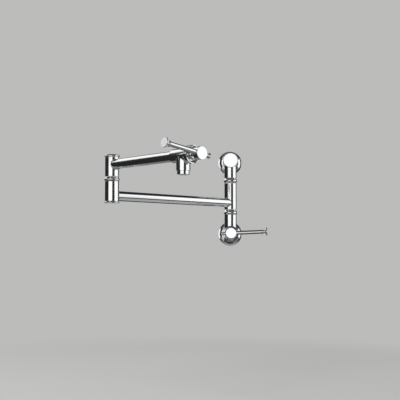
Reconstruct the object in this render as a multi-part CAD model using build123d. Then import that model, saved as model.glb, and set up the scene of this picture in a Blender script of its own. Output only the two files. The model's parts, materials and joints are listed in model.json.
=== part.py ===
from build123d import *
import os
from math import asin, cos, radians, sin

# Wall mounted pot filler: a two-arm swing spout held at two points of a wall.
# Frame: origin on the wall at the centre of the inlet, +X right, +Y into the wall, +Z up. Millimetres.

# ---------------------------------------------------------------- layout
MOUNT_SPACING = 180.0  # inlet centre up to support centre
POST_OFFSET = 61.5  # wall to the axis of the post
INNER_REACH = 385.0  # post axis to elbow axis
OUTER_REACH = 234.0  # elbow axis to spout axis
INNER_HEADING = 227.8  # inner arm as stored, degrees about +Z from +X
OUTER_HEADING = -47.7  # outer arm as stored, degrees about +Z from +X
INLET_LEVER_ANGLE = 2.5  # lever above the horizontal, seen from the front of its valve
SPOUT_LEVER_ANGLE = 171.2  # the same for the spout valve, whose lever points the other way

# ---------------------------------------------------------------- heights
INLET_LEG = 45.9  # inlet axis up to the seat of the lower collar
SUPPORT_LEG = 42.8  # support axis down to the seat of the upper collar
POST_COLLAR_H = 12.5
COLLAR_LIP = 1.2  # plain foot of a collar below its full bead
COLLAR_GAP = 0.8  # between its full and its slim bead
COLLAR_FULL_SHARE = 0.6  # of a collar's height that the full bead takes
INNER_ARM_Z = 75.4  # axis of the inner arm above the inlet axis
ARM_FOOT = 0.4  # underside of the inner arm above the bottom of the lower elbow barrel
ELBOW_LOWER_H = 41.7
ELBOW_COLLAR_H = 9.8
OUTER_ARM_RISE = 25.3  # axis of the outer arm above the bottom of the upper elbow barrel
ELBOW_UPPER_H = 40.2
BASE_CAP_H = 5.3
TOP_CAP_H = 6.8
SPOUT_LEG = 29.8  # outer arm axis down to the end of the spout
AERATOR_H = 7.9  # part of the aerator that shows

# ---------------------------------------------------------------- radii
POST_R = 15.0
POST_WALL = 5.0  # of the barrels that swing
POST_EDGE = 0.3  # broken edge at each end of a barrel
BEAD_PROUD = 1.7  # collars and caps stand this proud of the post
STEM_WALL = 2.5  # of the swivel stem's waist
STEM_BORE_R = 4.8
CROSS_HOLE_R = 3.5
ARM_R = 11.0
ARM_WALL = 1.5
PORT_R = 7.0  # water ways through the barrels and legs
BARREL_STEP = 1.0  # wall bodies are this much fatter than the post
SOCKET_WALL = 3.0  # spout body round the arm tube
SOCKET_MOUTH = 26.0  # spout axis back to the mouth of the arm's socket
SOCKET_FLOOR = 15.0  # spout axis back to the end of the arm in its socket
SPOUT_WALL = 2.75  # of the spout's leg outside the aerator's thread
SPOUT_BORE_R = 8.0
CASTING_ROUND = 2.0  # where the leg of the inlet body meets its barrel
SPOUT_ROUND = 1.5
SUPPORT_ROUND = 0.5
SUPPLY_THREAD_R = 9.3  # minor radius of a G1/2 female thread
SUPPLY_THREAD_LEN = 14.0

# ---------------------------------------------------------------- swivels
STEM_THREAD_LEN = 12.0
SEAL_INSET = 2.0  # a barrel's end to the groove of its O-ring
PORT_ROOM = 1.5  # of waist above and below the arm's port
STEM_LAND = 10.0  # closed end of the post stem above its waist
STEM_TOP_SEAL_DROP = 5.8  # end of the post stem down to its upper groove
PIVOT_LEN = 20.0  # of the pivot pin in the barrel
PIVOT_THREAD_STEP = 2.0  # thread of the pivot pin inside its radius
NUT_LEDGE = 1.6  # nut's rim outside the swivel bore
NUT_H = 2.6
NUT_THREAD_R = 6.0
NUT_SEAL_DROP = 3.2  # nut's seat down to the groove below it
NUT_NOTCH_W = 3.0
NUT_NOTCH_DEPTH = 1.2
NUT_NOTCH_LEN = 2.0  # in from the nut's rim
LEAD_IN = 0.8  # chamfer where a pin or boss enters its bore

# ---------------------------------------------------------------- caps
SUPPORT_CAP_LIP = 2.25  # rim of the cap outside the support body
SUPPORT_CAP_H = 3.0
SUPPORT_CAP_EDGE = 1.4
SUPPORT_CAP_CROWN = 0.4
SUPPORT_SPIGOT_R = 11.0
SUPPORT_SPIGOT_LEN = 6.5
SUPPORT_AHEAD = 0.6  # support body in front of the post below it
SPIGOT_ROOM = 0.5  # past the end of a spigot or thread in its hole
CAP_SPIGOT_WALL = 1.0  # ring of the elbow's top cap
CAP_SPIGOT_INSET = 2.0  # that ring inside the post's radius
CAP_SPIGOT_LEN = 2.0
CAP_BEAD_H = 4.4
CAP_NECK_H = 0.9
CAP_NECK_IN = 0.3  # neck of a cap inside the post's radius
CAP_CROWN = 0.6
BASE_PLUG_LEN = 4.0

# ---------------------------------------------------------------- wall flanges and bracket
FLANGE_NECK_W = 5.4  # neck outside the body that it slides on
FLANGE_SKIRT_W = 4.4
FLANGE_RIM_W = 4.2
FLANGE_FOOT_H = 3.8  # upright edge of the rim
FLANGE_RIM_RISE = 1.2
FLANGE_SKIRT_RISE = 3.7
FLANGE_NECK_H = 5.2
FLANGE_FACE_RISE = 0.45
FLANGE_COVE_RISE = 2.0
FLANGE_FACE_W = 1.8  # front face of the neck, inside its rounded edge
FLANGE_COLLAR_W = 0.9  # collar round the body at the top of the cove
FLANGE_COLLAR_H = 0.3
FLANGE_RIM_EDGE = 0.7
FLANGE_NECK_EDGE = 0.8
FLANGE_RIM_BULGE = 0.11
FLANGE_SKIRT_DIP = 0.2
FLANGE_COVE_DIP = 0.45
FLANGE_WALL = 2.2
BRACKET_SLACK = 1.3  # bracket inside the hollow of the flange
BRACKET_T = 3.0
BRACKET_EDGE = 0.6
BRACKET_BOSS_R = 9.0
BRACKET_BOSS_LEN = 24.0
BRACKET_HOLE_R = 2.75
BRACKET_HOLE_SPACING = 42.0
SCREW_HEAD_ROOM = 2.2  # under the flange, over the bracket plate
GRUB_R = 1.5
GRUB_SINK = 0.3  # a set screw ends this far below the surface
SUPPORT_GRUB_R = 2.5
SUPPORT_GRUB_LEVEL = 7.0  # off the back of the support body

# ---------------------------------------------------------------- valve, along its axis from the shoulder
SHOULDER_AHEAD = 4.5  # post's surface out to the shoulder that the bonnet seats on
NOSE_LEN = 2.2
NOSE_WALL = 2.0
CARTRIDGE_R = 10.0
CARTRIDGE_THREAD_LEN = 10.0
CARTRIDGE_HEX_H = 2.4
CARTRIDGE_STEP = 1.5  # cage of the cartridge inside its thread
CARTRIDGE_WALL = 1.25
CARTRIDGE_DEPTH = 25.0  # shoulder back to the foot of the cartridge
DISC_T = 3.0
DISC_RIM = 1.65  # edge of a disc in to its ports
DISC_HUB_R = 2.6
DISC_PORT_ANGLE = 70.0
DISC_GAP = 0.05
GASKET_T = 1.2
GASKET_SLACK = 0.1  # a gasket inside the wall that holds it
CHAMBER_DEPTH = 10.5  # shoulder back to the roof of the discs' chamber
WINDOW_DEPTH = 10.7  # shoulder back to the windows
WINDOW_H = 6.0
WINDOW_W = 8.0
BONNET_R = 18.0
BONNET_H = 9.7
BONNET_DISH = 3.7
BONNET_LIP = 1.3
BONNET_FLOOR_R = 9.4  # flat middle of its dish
BONNET_FLOOR_T = 1.2
BONNET_BACK_EDGE = 2.4
SPINDLE_R = 4.0
SPINDLE_SEAL_BACK = 4.5  # shoulder back to the groove of the spindle's O-ring
SPINDLE_SEAL_DEPTH = 1.1
SPINDLE_SEAL_W = 1.6
DOG_T = 1.8
DOG_W = 5.0
SPLINE_TEETH = 20
SPLINE_DEPTH = 0.45

# ---------------------------------------------------------------- handle
LEVER_AHEAD = 28.7  # shoulder out to the axis of the lever
HUB_R = 13.0
HUB_UNDER_LEVER = 2.2  # back of the drum behind the lever's thickest part
HUB_OVER_LEVER = 0.4  # face of the drum in front of it
HUB_NECK_R = 6.6
HUB_NECK_HOLLOW = 3.0  # height of the curve from the skirt in to the neck
HUB_NECK_FLARE = 2.4  # out from the neck, and back from the drum, to where they meet
HUB_SKIRT_R = 8.6
HUB_SKIRT_H = 1.4
HUB_SKIRT_GAP = 0.9  # skirt off the floor of the bonnet's dish
HUB_CAP_T = 1.4
HUB_CAP_EDGE = 0.9
HUB_CAP_SPIGOT_R = 6.0
HUB_CAP_SPIGOT_WALL = 1.2
HUB_CAP_SPIGOT_LEN = 2.0
HUB_EDGE = 1.5
HUB_SCREW_ROOM = 0.3  # round the screw and its head
LEVER_SPOT_DEPTH = 1.0  # drum's side in to the face that the lever seats on
LEVER_THREAD_R = 3.0
LEVER_THREAD_LEN = 4.4
LEVER_R = 4.8
LEVER_TIP_R = 4.5
LEVER_ROD_LEN = 62.2
LEVER_BEAD_PROUD = 1.5
LEVER_BEAD_W = 3.2
LEVER_NECK_R = 3.6
LEVER_NECK_W = 2.6
LEVER_FLARE_H = 4.5
LEVER_BUTTON_R = 9.25
LEVER_BUTTON_T = 2.5
TAIL_STEM_R = 3.6
TAIL_STEM_LEN = 5.0
TAIL_FLARE_H = 4.6
TAIL_BUTTON_R = 5.3
TAIL_BUTTON_T = 1.8
BUTTON_BULGE = 0.5  # of a button's edge
BUTTON_CROWN = 0.5  # of a button's end
HANDLE_SCREW_R = 2.0
HANDLE_SCREW_HEAD_R = 3.5
HANDLE_SCREW_HEAD_H = 2.2
HANDLE_SCREW_LEN = 10.0
HANDLE_SCREW_KEY = 3.0  # across flats
HANDLE_SCREW_KEY_DEPTH = 1.4
HANDLE_SCREW_BITE = 2.4  # seat of the screw's head over the end of the spindle

# ---------------------------------------------------------------- aerator
AERATOR_THREAD_R = 11.0
AERATOR_THREAD_LEN = 8.0
AERATOR_SHOULDER = 1.0  # shell below the spout outside its thread
AERATOR_EDGE = 1.6
AERATOR_GROOVE_H = 0.8  # shadow groove under the spout
AERATOR_GROOVE_DEPTH = 0.7
AERATOR_WALL = 1.4
AERATOR_LIP = 1.0
AERATOR_GASKET_T = 1.6
HONEYCOMB_T = 3.0
HONEYCOMB_CELL_R = 1.65  # centre to corner of one hexagonal cell
HONEYCOMB_WEB = 0.5
HONEYCOMB_ROWS = 5

# ---------------------------------------------------------------- fits
RUN_FIT = 0.05  # radial clearance of a shaft that turns or slides home
SEAL_FIT = 0.03  # an O-ring off the walls that squeeze it
BRAZE_GAP = 0.05
WASHER_T = 0.8
WASHER_INSET = 0.6  # edge of a thrust washer inside the post's radius
AXIAL_PLAY = 0.2
CUT_PAST = 1.0  # a cut runs this far out of the surface that it opens
SAME = 0.01  # two sizes closer than this are the same
O_RING_GROOVE = 2.4
O_RING_DEPTH = 1.8
O_RING_SHOULDER = 0.3  # share of a squeezed ring's section that its corners take

# ---------------------------------------------------------------- worked out from the above
SWIVEL_BORE_R = POST_R - POST_WALL
SWIVEL_R = SWIVEL_BORE_R - RUN_FIT
STEM_WAIST_R = SWIVEL_R - STEM_WALL
BARREL_R = POST_R + BARREL_STEP
SPOUT_BARREL_R = ARM_R + SOCKET_WALL
SPOUT_LEG_R = AERATOR_THREAD_R + SPOUT_WALL
LOWER_COLLAR_Z = INLET_LEG
BARREL_BOTTOM = LOWER_COLLAR_Z + POST_COLLAR_H + WASHER_T + AXIAL_PLAY
UPPER_SEAT = MOUNT_SPACING - SUPPORT_LEG
UPPER_COLLAR_Z = UPPER_SEAT - POST_COLLAR_H
BARREL_TOP = UPPER_COLLAR_Z - WASHER_T - AXIAL_PLAY
ELBOW_BOTTOM = INNER_ARM_Z - ARM_R - ARM_FOOT
ELBOW_COLLAR_Z = ELBOW_BOTTOM + ELBOW_LOWER_H
UPPER_BOTTOM = ELBOW_COLLAR_Z + ELBOW_COLLAR_H + WASHER_T + AXIAL_PLAY
UPPER_TOP = UPPER_BOTTOM + ELBOW_UPPER_H
OUTER_ARM_Z = UPPER_BOTTOM + OUTER_ARM_RISE
STEM_TOP = INNER_ARM_Z + PORT_R + PORT_ROOM + STEM_LAND
NUT_R = SWIVEL_BORE_R + NUT_LEDGE
CAP_SPIGOT_R = POST_R - CAP_SPIGOT_INSET
NUT_SEAT = UPPER_TOP - CAP_SPIGOT_LEN - NUT_H - AXIAL_PLAY - SPIGOT_ROOM
SUPPORT_FRONT = POST_OFFSET + POST_R + SUPPORT_AHEAD
SUPPORT_FACE = SUPPORT_FRONT + SUPPORT_CAP_H
SUPPORT_CAP_R = BARREL_R + SUPPORT_CAP_LIP
FLANGE_NECK_R = BARREL_R + FLANGE_NECK_W
FLANGE_SKIRT_R = FLANGE_NECK_R + FLANGE_SKIRT_W
FLANGE_RIM_R = FLANGE_SKIRT_R + FLANGE_RIM_W
FLANGE_SKIRT_FOOT = FLANGE_FOOT_H + FLANGE_RIM_RISE
FLANGE_SKIRT_TOP = FLANGE_SKIRT_FOOT + FLANGE_SKIRT_RISE
FLANGE_FACE = FLANGE_SKIRT_TOP + FLANGE_NECK_H
FLANGE_COVE_FOOT = FLANGE_FACE + FLANGE_FACE_RISE
FLANGE_COVE_TOP = FLANGE_COVE_FOOT + FLANGE_COVE_RISE
FLANGE_TOP = FLANGE_COVE_TOP + FLANGE_COLLAR_H
BRACKET_R = FLANGE_RIM_R - FLANGE_WALL - BRACKET_SLACK
SHOULDER = POST_R + SHOULDER_AHEAD  # leg axis out to the shoulder of either valve
NOSE_R = CARTRIDGE_R + NOSE_WALL
CAGE_R = CARTRIDGE_R - CARTRIDGE_STEP
DISC_R = CAGE_R - CARTRIDGE_WALL
DISC_PORT_R = DISC_R - DISC_RIM
CAVITY_FLOOR = -CARTRIDGE_DEPTH - GASKET_T
MOVING_DISC_START = -CARTRIDGE_DEPTH + DISC_T + DISC_GAP
DOG_START = MOVING_DISC_START + DISC_T
HUB_START = BONNET_H - BONNET_DISH + HUB_SKIRT_GAP
HUB_BACK = LEVER_AHEAD - LEVER_R - HUB_UNDER_LEVER
HUB_FACE = LEVER_AHEAD + LEVER_R + HUB_OVER_LEVER
SPINDLE_END = HUB_FACE - HUB_CAP_SPIGOT_LEN - HANDLE_SCREW_HEAD_H - HANDLE_SCREW_BITE - AXIAL_PLAY
SCREW_FLOOR = SPINDLE_END + HANDLE_SCREW_BITE
LEVER_SEAT = HUB_R - LEVER_SPOT_DEPTH
AERATOR_R = AERATOR_THREAD_R + AERATOR_SHOULDER
AERATOR_BORE_R = AERATOR_THREAD_R - AERATOR_WALL

# Local frames. In a valve frame Z runs out along the valve and Y is up.
POST = Location((0, -POST_OFFSET, 0))
INNER = POST * Rot(0, 0, INNER_HEADING)
ELBOW = INNER * Pos(INNER_REACH, 0, 0)
OUTER = POST * Pos(
    INNER_REACH * cos(radians(INNER_HEADING)), INNER_REACH * sin(radians(INNER_HEADING)), 0
) * Rot(0, 0, OUTER_HEADING)
INLET_WALL = Plane(origin=(0, 0, 0), x_dir=(1, 0, 0), z_dir=(0, -1, 0)).location
SUPPORT_WALL = Pos(0, 0, MOUNT_SPACING) * INLET_WALL
INLET_VALVE = INLET_WALL * Pos(0, 0, POST_OFFSET + SHOULDER)
SPOUT_VALVE = OUTER * Plane(
    origin=(OUTER_REACH + SHOULDER, 0, OUTER_ARM_Z), x_dir=(0, 1, 0), z_dir=(1, 0, 0)
).location


# ---------------------------------------------------------------- shaping helpers
def rod(radius, start, end):
    """Cylinder on the Z axis from one height to another."""
    low = (Align.CENTER, Align.CENTER, Align.MIN)
    return Pos(0, 0, start) * Cylinder(radius, end - start, align=low)


def tube(outer, inner, start, end):
    return rod(outer, start, end) - rod(inner, start, end)


def cross_rod(radius, start, end, height):
    """Cylinder along local X, between two distances either way, at a height."""
    near, far = sorted((start, end))
    return Pos(0, 0, height) * Rot(0, 90, 0) * rod(radius, near, far)


def spun(*outline):
    """Turn a closed outline, drawn in (radius, height), about the Z axis."""
    return revolve(Plane.XZ * make_face(list(outline)), Axis.Z)


def bead(radius, proud, start, end):
    """Outward bulge of a turned outline from one height to the other."""
    middle = (start + end) / 2
    return ThreePointArc((radius, start), (radius + proud, middle), (radius, end))


def swell(low, high, bulge):
    """Curved slope of a turned outline, that far outside the straight line, or inside it below zero."""
    across = low[0] - high[0]
    rise = high[1] - low[1]
    length = (across**2 + rise**2) ** 0.5
    radius = (low[0] + high[0]) / 2 + bulge * rise / length
    height = (low[1] + high[1]) / 2 + bulge * across / length
    return ThreePointArc(low, (radius, height), high)


def crown(radius, edge, peak):
    """Shallow dome of a turned outline, from its edge in to the axis."""
    rise = peak - edge
    ball = (radius**2 + rise**2) / (2 * rise)
    half = asin(radius / abs(ball)) / 2
    middle = (abs(ball) * sin(half), peak - ball * (1 - cos(half)))
    return ThreePointArc((radius, edge), middle, (0, peak))


def quarter_round(start, end):
    """Convex quarter turn of an outline, tangent to an upright and a level line."""
    (wide, low), (narrow, high) = sorted((start, end), reverse=True)
    slack = 1 - sin(radians(45))
    middle = (wide - slack * (wide - narrow), high - slack * (high - low))
    return ThreePointArc(start, middle, end)


def hollow(wide, narrow):
    """Concave quarter turn of an outline, from a wide point in to an upright at the narrow one."""
    slack = 1 - sin(radians(45))
    reach = wide[0] - narrow[0]
    rise = wide[1] - narrow[1]
    middle = (narrow[0] + slack * reach, narrow[1] + (1 - slack) * rise)
    return ThreePointArc(wide, middle, narrow)


def bowl(rim, floor):
    """Hollow slope of a turned outline, from its rim down to a level floor that it runs out on."""
    across = rim[0] - floor[0]
    drop = rim[1] - floor[1]
    ball = (across**2 + drop**2) / (2 * drop)
    half = asin(across / ball) / 2
    return ThreePointArc(rim, (floor[0] + ball * sin(half), floor[1] + ball * (1 - cos(half))), floor)


def rounded(part, radius, height, amount):
    """Round the circular edge of that radius at that height."""
    rims = [
        edge
        for edge in part.edges().filter_by(GeomType.CIRCLE)
        if abs(edge.radius - radius) < SAME and abs(edge.center().Z - height) < SAME
    ]
    return fillet(rims, amount)


def groove(radius, start):
    """Room for an O-ring in a shaft of that radius."""
    return tube(radius + CUT_PAST, radius - O_RING_DEPTH, start, start + O_RING_GROOVE)


def o_ring(radius, start, depth=O_RING_DEPTH, width=O_RING_GROOVE):
    """O-ring as it lies in use, its section squeezed to flats by the groove and the bore."""
    section = depth + RUN_FIT - 2 * SEAL_FIT
    ring_middle = radius + RUN_FIT - SEAL_FIT - section / 2
    flats = chamfer(Rectangle(section, section).vertices(), O_RING_SHOULDER * section)
    return Pos(0, 0, start + width / 2) * revolve(Plane.XZ * Pos(ring_middle, 0) * flats, Axis.Z)


# ---------------------------------------------------------------- collars, caps and washers
def collar(height):
    """Turned ring with a full bead below and a slim one above, on a swivel stem."""
    full_end = COLLAR_LIP + COLLAR_FULL_SHARE * height
    slim_start = full_end + COLLAR_GAP
    slim_end = height - COLLAR_GAP / 2
    return spun(
        Line((SWIVEL_BORE_R, 0), (POST_R, 0)),
        Line((POST_R, 0), (POST_R, COLLAR_LIP)),
        bead(POST_R, BEAD_PROUD, COLLAR_LIP, full_end),
        Line((POST_R, full_end), (POST_R, slim_start)),
        bead(POST_R, BEAD_PROUD / 2, slim_start, slim_end),
        Line((POST_R, slim_end), (POST_R, height)),
        Line((POST_R, height), (SWIVEL_BORE_R, height)),
        Line((SWIVEL_BORE_R, height), (SWIVEL_BORE_R, 0)),
    )


def thrust_washer():
    return tube(POST_R - WASHER_INSET, SWIVEL_BORE_R, 0, WASHER_T)


def elbow_top_cap():
    """Lid of the elbow: a bead under a flat crowned top, with a ring that plugs into the barrel."""
    neck = POST_R - CAP_NECK_IN
    bead_end = CAP_NECK_H + CAP_BEAD_H
    top = TOP_CAP_H - CAP_CROWN
    lid = spun(
        Line((0, 0), (neck, 0)),
        Line((neck, 0), (neck, CAP_NECK_H)),
        bead(neck, BEAD_PROUD + CAP_NECK_IN, CAP_NECK_H, bead_end),
        Line((neck, bead_end), (neck - CAP_NECK_IN, top)),
        crown(neck - CAP_NECK_IN, top, TOP_CAP_H),
        Line((0, TOP_CAP_H), (0, 0)),
    )
    return lid + tube(CAP_SPIGOT_R, CAP_SPIGOT_R - CAP_SPIGOT_WALL, -CAP_SPIGOT_LEN, 0)


def elbow_base_cap():
    """Foot of the elbow: one bead, a crowned underside and a plug that screws into the barrel."""
    neck = POST_R - CAP_NECK_IN
    base = -BASE_CAP_H + CAP_CROWN
    foot = spun(
        Line((0, 0), (neck, 0)),
        bead(neck, BEAD_PROUD, base, 0),
        Line((neck, base), (neck - CAP_NECK_IN, base)),
        crown(neck - CAP_NECK_IN, base, -BASE_CAP_H),
        Line((0, -BASE_CAP_H), (0, 0)),
    )
    return foot + rod(SWIVEL_R, 0, BASE_PLUG_LEN)


# ---------------------------------------------------------------- swivel stems
def swivel_stem(thread_start, seal_start, port_z, top_seal, end):
    """Hollow stem: thread, sealing land, waist with cross holes, and a closed sealing land."""
    low, high = port_z - PORT_R - PORT_ROOM, port_z + PORT_R + PORT_ROOM
    stem = rod(SWIVEL_R, thread_start, end)
    stem -= tube(SWIVEL_R + CUT_PAST, STEM_WAIST_R, low, high)
    stem -= groove(SWIVEL_R, seal_start)
    stem -= groove(SWIVEL_R, top_seal)
    stem -= rod(STEM_BORE_R, thread_start, high - PORT_ROOM)
    stem -= cross_rod(CROSS_HOLE_R, -SWIVEL_R, SWIVEL_R, port_z)
    stem -= Rot(0, 0, 90) * cross_rod(CROSS_HOLE_R, -SWIVEL_R, SWIVEL_R, port_z)
    return stem


# ---------------------------------------------------------------- wall side
def wall_flange():
    """Escutcheon that slides along the body up to the wall, with a rim, a skirt, a neck and a cove."""
    rim_edge_r = FLANGE_RIM_R - FLANGE_RIM_EDGE
    neck_edge = FLANGE_FACE - FLANGE_NECK_EDGE
    face_r = FLANGE_NECK_R - FLANGE_NECK_EDGE
    cove_r = face_r - FLANGE_FACE_W
    collar_r = BARREL_R + FLANGE_COLLAR_W
    flange = spun(
        Line((0, 0), (FLANGE_RIM_R, 0)),
        Line((FLANGE_RIM_R, 0), (FLANGE_RIM_R, FLANGE_FOOT_H - FLANGE_RIM_EDGE)),
        quarter_round((FLANGE_RIM_R, FLANGE_FOOT_H - FLANGE_RIM_EDGE), (rim_edge_r, FLANGE_FOOT_H)),
        swell((rim_edge_r, FLANGE_FOOT_H), (FLANGE_SKIRT_R, FLANGE_SKIRT_FOOT), FLANGE_RIM_BULGE),
        swell((FLANGE_SKIRT_R, FLANGE_SKIRT_FOOT), (FLANGE_NECK_R, FLANGE_SKIRT_TOP), -FLANGE_SKIRT_DIP),
        Line((FLANGE_NECK_R, FLANGE_SKIRT_TOP), (FLANGE_NECK_R, neck_edge)),
        quarter_round((FLANGE_NECK_R, neck_edge), (face_r, FLANGE_FACE)),
        Line((face_r, FLANGE_FACE), (cove_r, FLANGE_COVE_FOOT)),
        swell((cove_r, FLANGE_COVE_FOOT), (collar_r, FLANGE_COVE_TOP), -FLANGE_COVE_DIP),
        Line((collar_r, FLANGE_COVE_TOP), (collar_r, FLANGE_TOP)),
        Line((collar_r, FLANGE_TOP), (0, FLANGE_TOP)),
        Line((0, FLANGE_TOP), (0, 0)),
    )
    flange -= rod(FLANGE_RIM_R - FLANGE_WALL, 0, BRACKET_T + AXIAL_PLAY)
    flange -= rod(FLANGE_SKIRT_R - FLANGE_WALL, 0, BRACKET_T + SCREW_HEAD_ROOM)
    flange -= rod(BARREL_R + RUN_FIT, 0, FLANGE_TOP)
    return flange - flange_grub(GRUB_R + RUN_FIT, 0, FLANGE_NECK_R)


def flange_grub(radius, start, end):
    """Set screw, or the hole for it, through the lowest point of the flange's neck."""
    level = (FLANGE_SKIRT_TOP + FLANGE_FACE - FLANGE_NECK_EDGE) / 2
    return Pos(0, 0, level) * Rot(90, 0, 0) * rod(radius, start, end)


def wall_bracket():
    """Plate with two screw holes and the boss that carries the support body."""
    plate = rod(BRACKET_R, 0, BRACKET_T)
    bracket = chamfer(plate.edges().group_by(Axis.Z)[-1], BRACKET_EDGE)
    bracket += rod(BRACKET_BOSS_R, 0, BRACKET_T + BRACKET_BOSS_LEN)
    bracket = chamfer(bracket.edges().group_by(Axis.Z)[-1], LEAD_IN)
    for side in (-1, 1):
        bracket -= Pos(side * BRACKET_HOLE_SPACING / 2, 0, 0) * rod(BRACKET_HOLE_R, 0, BRACKET_T)
    return bracket


def support_grub(side, radius, start, end):
    """Set screw, or the hole for it, that clamps the support body to the boss from one side."""
    return cross_rod(radius, side * start, side * end, BRACKET_T + SUPPORT_GRUB_LEVEL)


def tee(barrel, leg, round_radius):
    """Join a barrel and a leg and soften the corner between them."""
    body = barrel + leg
    corners = [
        edge
        for edge in body.edges()
        if edge.geom_type not in (GeomType.CIRCLE, GeomType.LINE)
    ]
    return fillet(corners, round_radius)


def inlet_body():
    """Valve body: supply thread at the wall, cartridge nose in front, hollow leg up to the post."""
    barrel = INLET_WALL * rod(BARREL_R, 0, POST_OFFSET + SHOULDER)
    leg = POST * rod(POST_R, 0, INLET_LEG)
    body = tee(barrel, leg, CASTING_ROUND)
    body += INLET_VALVE * rod(NOSE_R, -NOSE_LEN, NOSE_LEN)
    body -= INLET_WALL * rod(SUPPLY_THREAD_R, 0, SUPPLY_THREAD_LEN)
    body -= INLET_WALL * rod(PORT_R, 0, POST_OFFSET)
    body -= INLET_VALVE * rod(CARTRIDGE_R + RUN_FIT, CAVITY_FLOOR, NOSE_LEN)
    body -= POST * rod(PORT_R, 0, INLET_LEG)
    return body - POST * rod(SWIVEL_BORE_R, INLET_LEG - STEM_THREAD_LEN, INLET_LEG)


def support_body():
    """Upper wall body: slides on the bracket's boss and carries the top of the post."""
    barrel = SUPPORT_WALL * rod(BARREL_R, BRACKET_T, SUPPORT_FRONT)
    leg = POST * rod(POST_R, UPPER_SEAT, MOUNT_SPACING)
    body = tee(barrel, leg, SUPPORT_ROUND)
    body -= SUPPORT_WALL * rod(BRACKET_BOSS_R + RUN_FIT, 0, SUPPORT_FACE)
    spigot_floor = SUPPORT_FRONT - SUPPORT_SPIGOT_LEN - SPIGOT_ROOM
    body -= SUPPORT_WALL * rod(SUPPORT_SPIGOT_R + RUN_FIT, spigot_floor, SUPPORT_FRONT)
    body -= POST * rod(PORT_R, UPPER_SEAT, MOUNT_SPACING)
    socket_r = SWIVEL_R - PIVOT_THREAD_STEP + RUN_FIT
    body -= POST * rod(socket_r, UPPER_SEAT, UPPER_SEAT + STEM_THREAD_LEN)
    for side in (-1, 1):
        body -= SUPPORT_WALL * support_grub(side, SUPPORT_GRUB_R + RUN_FIT, 0, BARREL_R)
    return body


def support_cap():
    """Blank cap in the front of the support body, slightly crowned."""
    rim = SUPPORT_FACE - SUPPORT_CAP_CROWN
    edge = SUPPORT_CAP_R - SUPPORT_CAP_EDGE
    cap = spun(
        Line((0, SUPPORT_FRONT), (SUPPORT_CAP_R, SUPPORT_FRONT)),
        Line((SUPPORT_CAP_R, SUPPORT_FRONT), (SUPPORT_CAP_R, rim - SUPPORT_CAP_EDGE)),
        quarter_round((SUPPORT_CAP_R, rim - SUPPORT_CAP_EDGE), (edge, rim)),
        crown(edge, rim, SUPPORT_FACE),
        Line((0, SUPPORT_FACE), (0, SUPPORT_FRONT)),
    )
    return cap + rod(SUPPORT_SPIGOT_R, SUPPORT_FRONT - SUPPORT_SPIGOT_LEN, SUPPORT_FRONT)


def pivot_pin():
    """Solid pin that steadies the top of the swinging barrel."""
    pin = rod(SWIVEL_R, BARREL_TOP - PIVOT_LEN, UPPER_SEAT)
    pin = chamfer(pin.edges().group_by(Axis.Z)[0], LEAD_IN)
    thread_end = UPPER_SEAT + STEM_THREAD_LEN - SPIGOT_ROOM
    pin += rod(SWIVEL_R - PIVOT_THREAD_STEP, UPPER_SEAT, thread_end)
    return pin - groove(SWIVEL_R, BARREL_TOP - SEAL_INSET - O_RING_GROOVE)


# ---------------------------------------------------------------- arms
def arm_tube(start, end, height):
    tube_out = cross_rod(ARM_R, start, end, height)
    return tube_out - cross_rod(ARM_R - ARM_WALL, start, end, height)


def ported_barrel(start, end, port_z, side):
    """Length of post with its swivel bore and the port that an arm is brazed over."""
    barrel = tube(POST_R, SWIVEL_BORE_R, start, end)
    circles = barrel.edges().filter_by(GeomType.CIRCLE)
    barrel = chamfer([edge for edge in circles if abs(edge.radius - POST_R) < SAME], POST_EDGE)
    return barrel - cross_rod(PORT_R, 0, side * (POST_R + CUT_PAST), port_z)


def inner_arm_tube():
    blank = arm_tube(SWIVEL_R, INNER_REACH - SWIVEL_R, INNER_ARM_Z)
    cope = rod(POST_R + BRAZE_GAP, 0, MOUNT_SPACING)
    return INNER * (blank - cope - Pos(INNER_REACH, 0, 0) * cope)


def outer_arm_tube():
    blank = arm_tube(SWIVEL_R, OUTER_REACH - SOCKET_FLOOR, OUTER_ARM_Z)
    return OUTER * (blank - rod(POST_R + BRAZE_GAP, UPPER_BOTTOM, UPPER_TOP))


def elbow_upper_barrel():
    barrel = ported_barrel(UPPER_BOTTOM, UPPER_TOP, OUTER_ARM_Z, 1)
    barrel -= rod(NUT_R + SPIGOT_ROOM, NUT_SEAT, UPPER_TOP)
    cap_seat = UPPER_TOP - CAP_SPIGOT_LEN - BRAZE_GAP
    return OUTER * (barrel - rod(CAP_SPIGOT_R + RUN_FIT, cap_seat, UPPER_TOP))


def elbow_stem():
    stem = swivel_stem(
        ELBOW_COLLAR_Z - STEM_THREAD_LEN,
        UPPER_BOTTOM + SEAL_INSET,
        OUTER_ARM_Z,
        NUT_SEAT - NUT_SEAL_DROP,
        NUT_SEAT,
    )
    return ELBOW * (stem + rod(NUT_THREAD_R, NUT_SEAT, NUT_SEAT + AXIAL_PLAY + NUT_H + SPIGOT_ROOM))


def elbow_nut():
    """Retaining nut on the stem, with two notches for a pin wrench."""
    start = NUT_SEAT + AXIAL_PLAY
    nut = tube(NUT_R, NUT_THREAD_R + RUN_FIT, start, start + NUT_H)
    notch = Pos(NUT_R, 0, start + NUT_H) * Box(2 * NUT_NOTCH_LEN, NUT_NOTCH_W, 2 * NUT_NOTCH_DEPTH)
    return ELBOW * (nut - notch - Rot(0, 0, 180) * notch)


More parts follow.
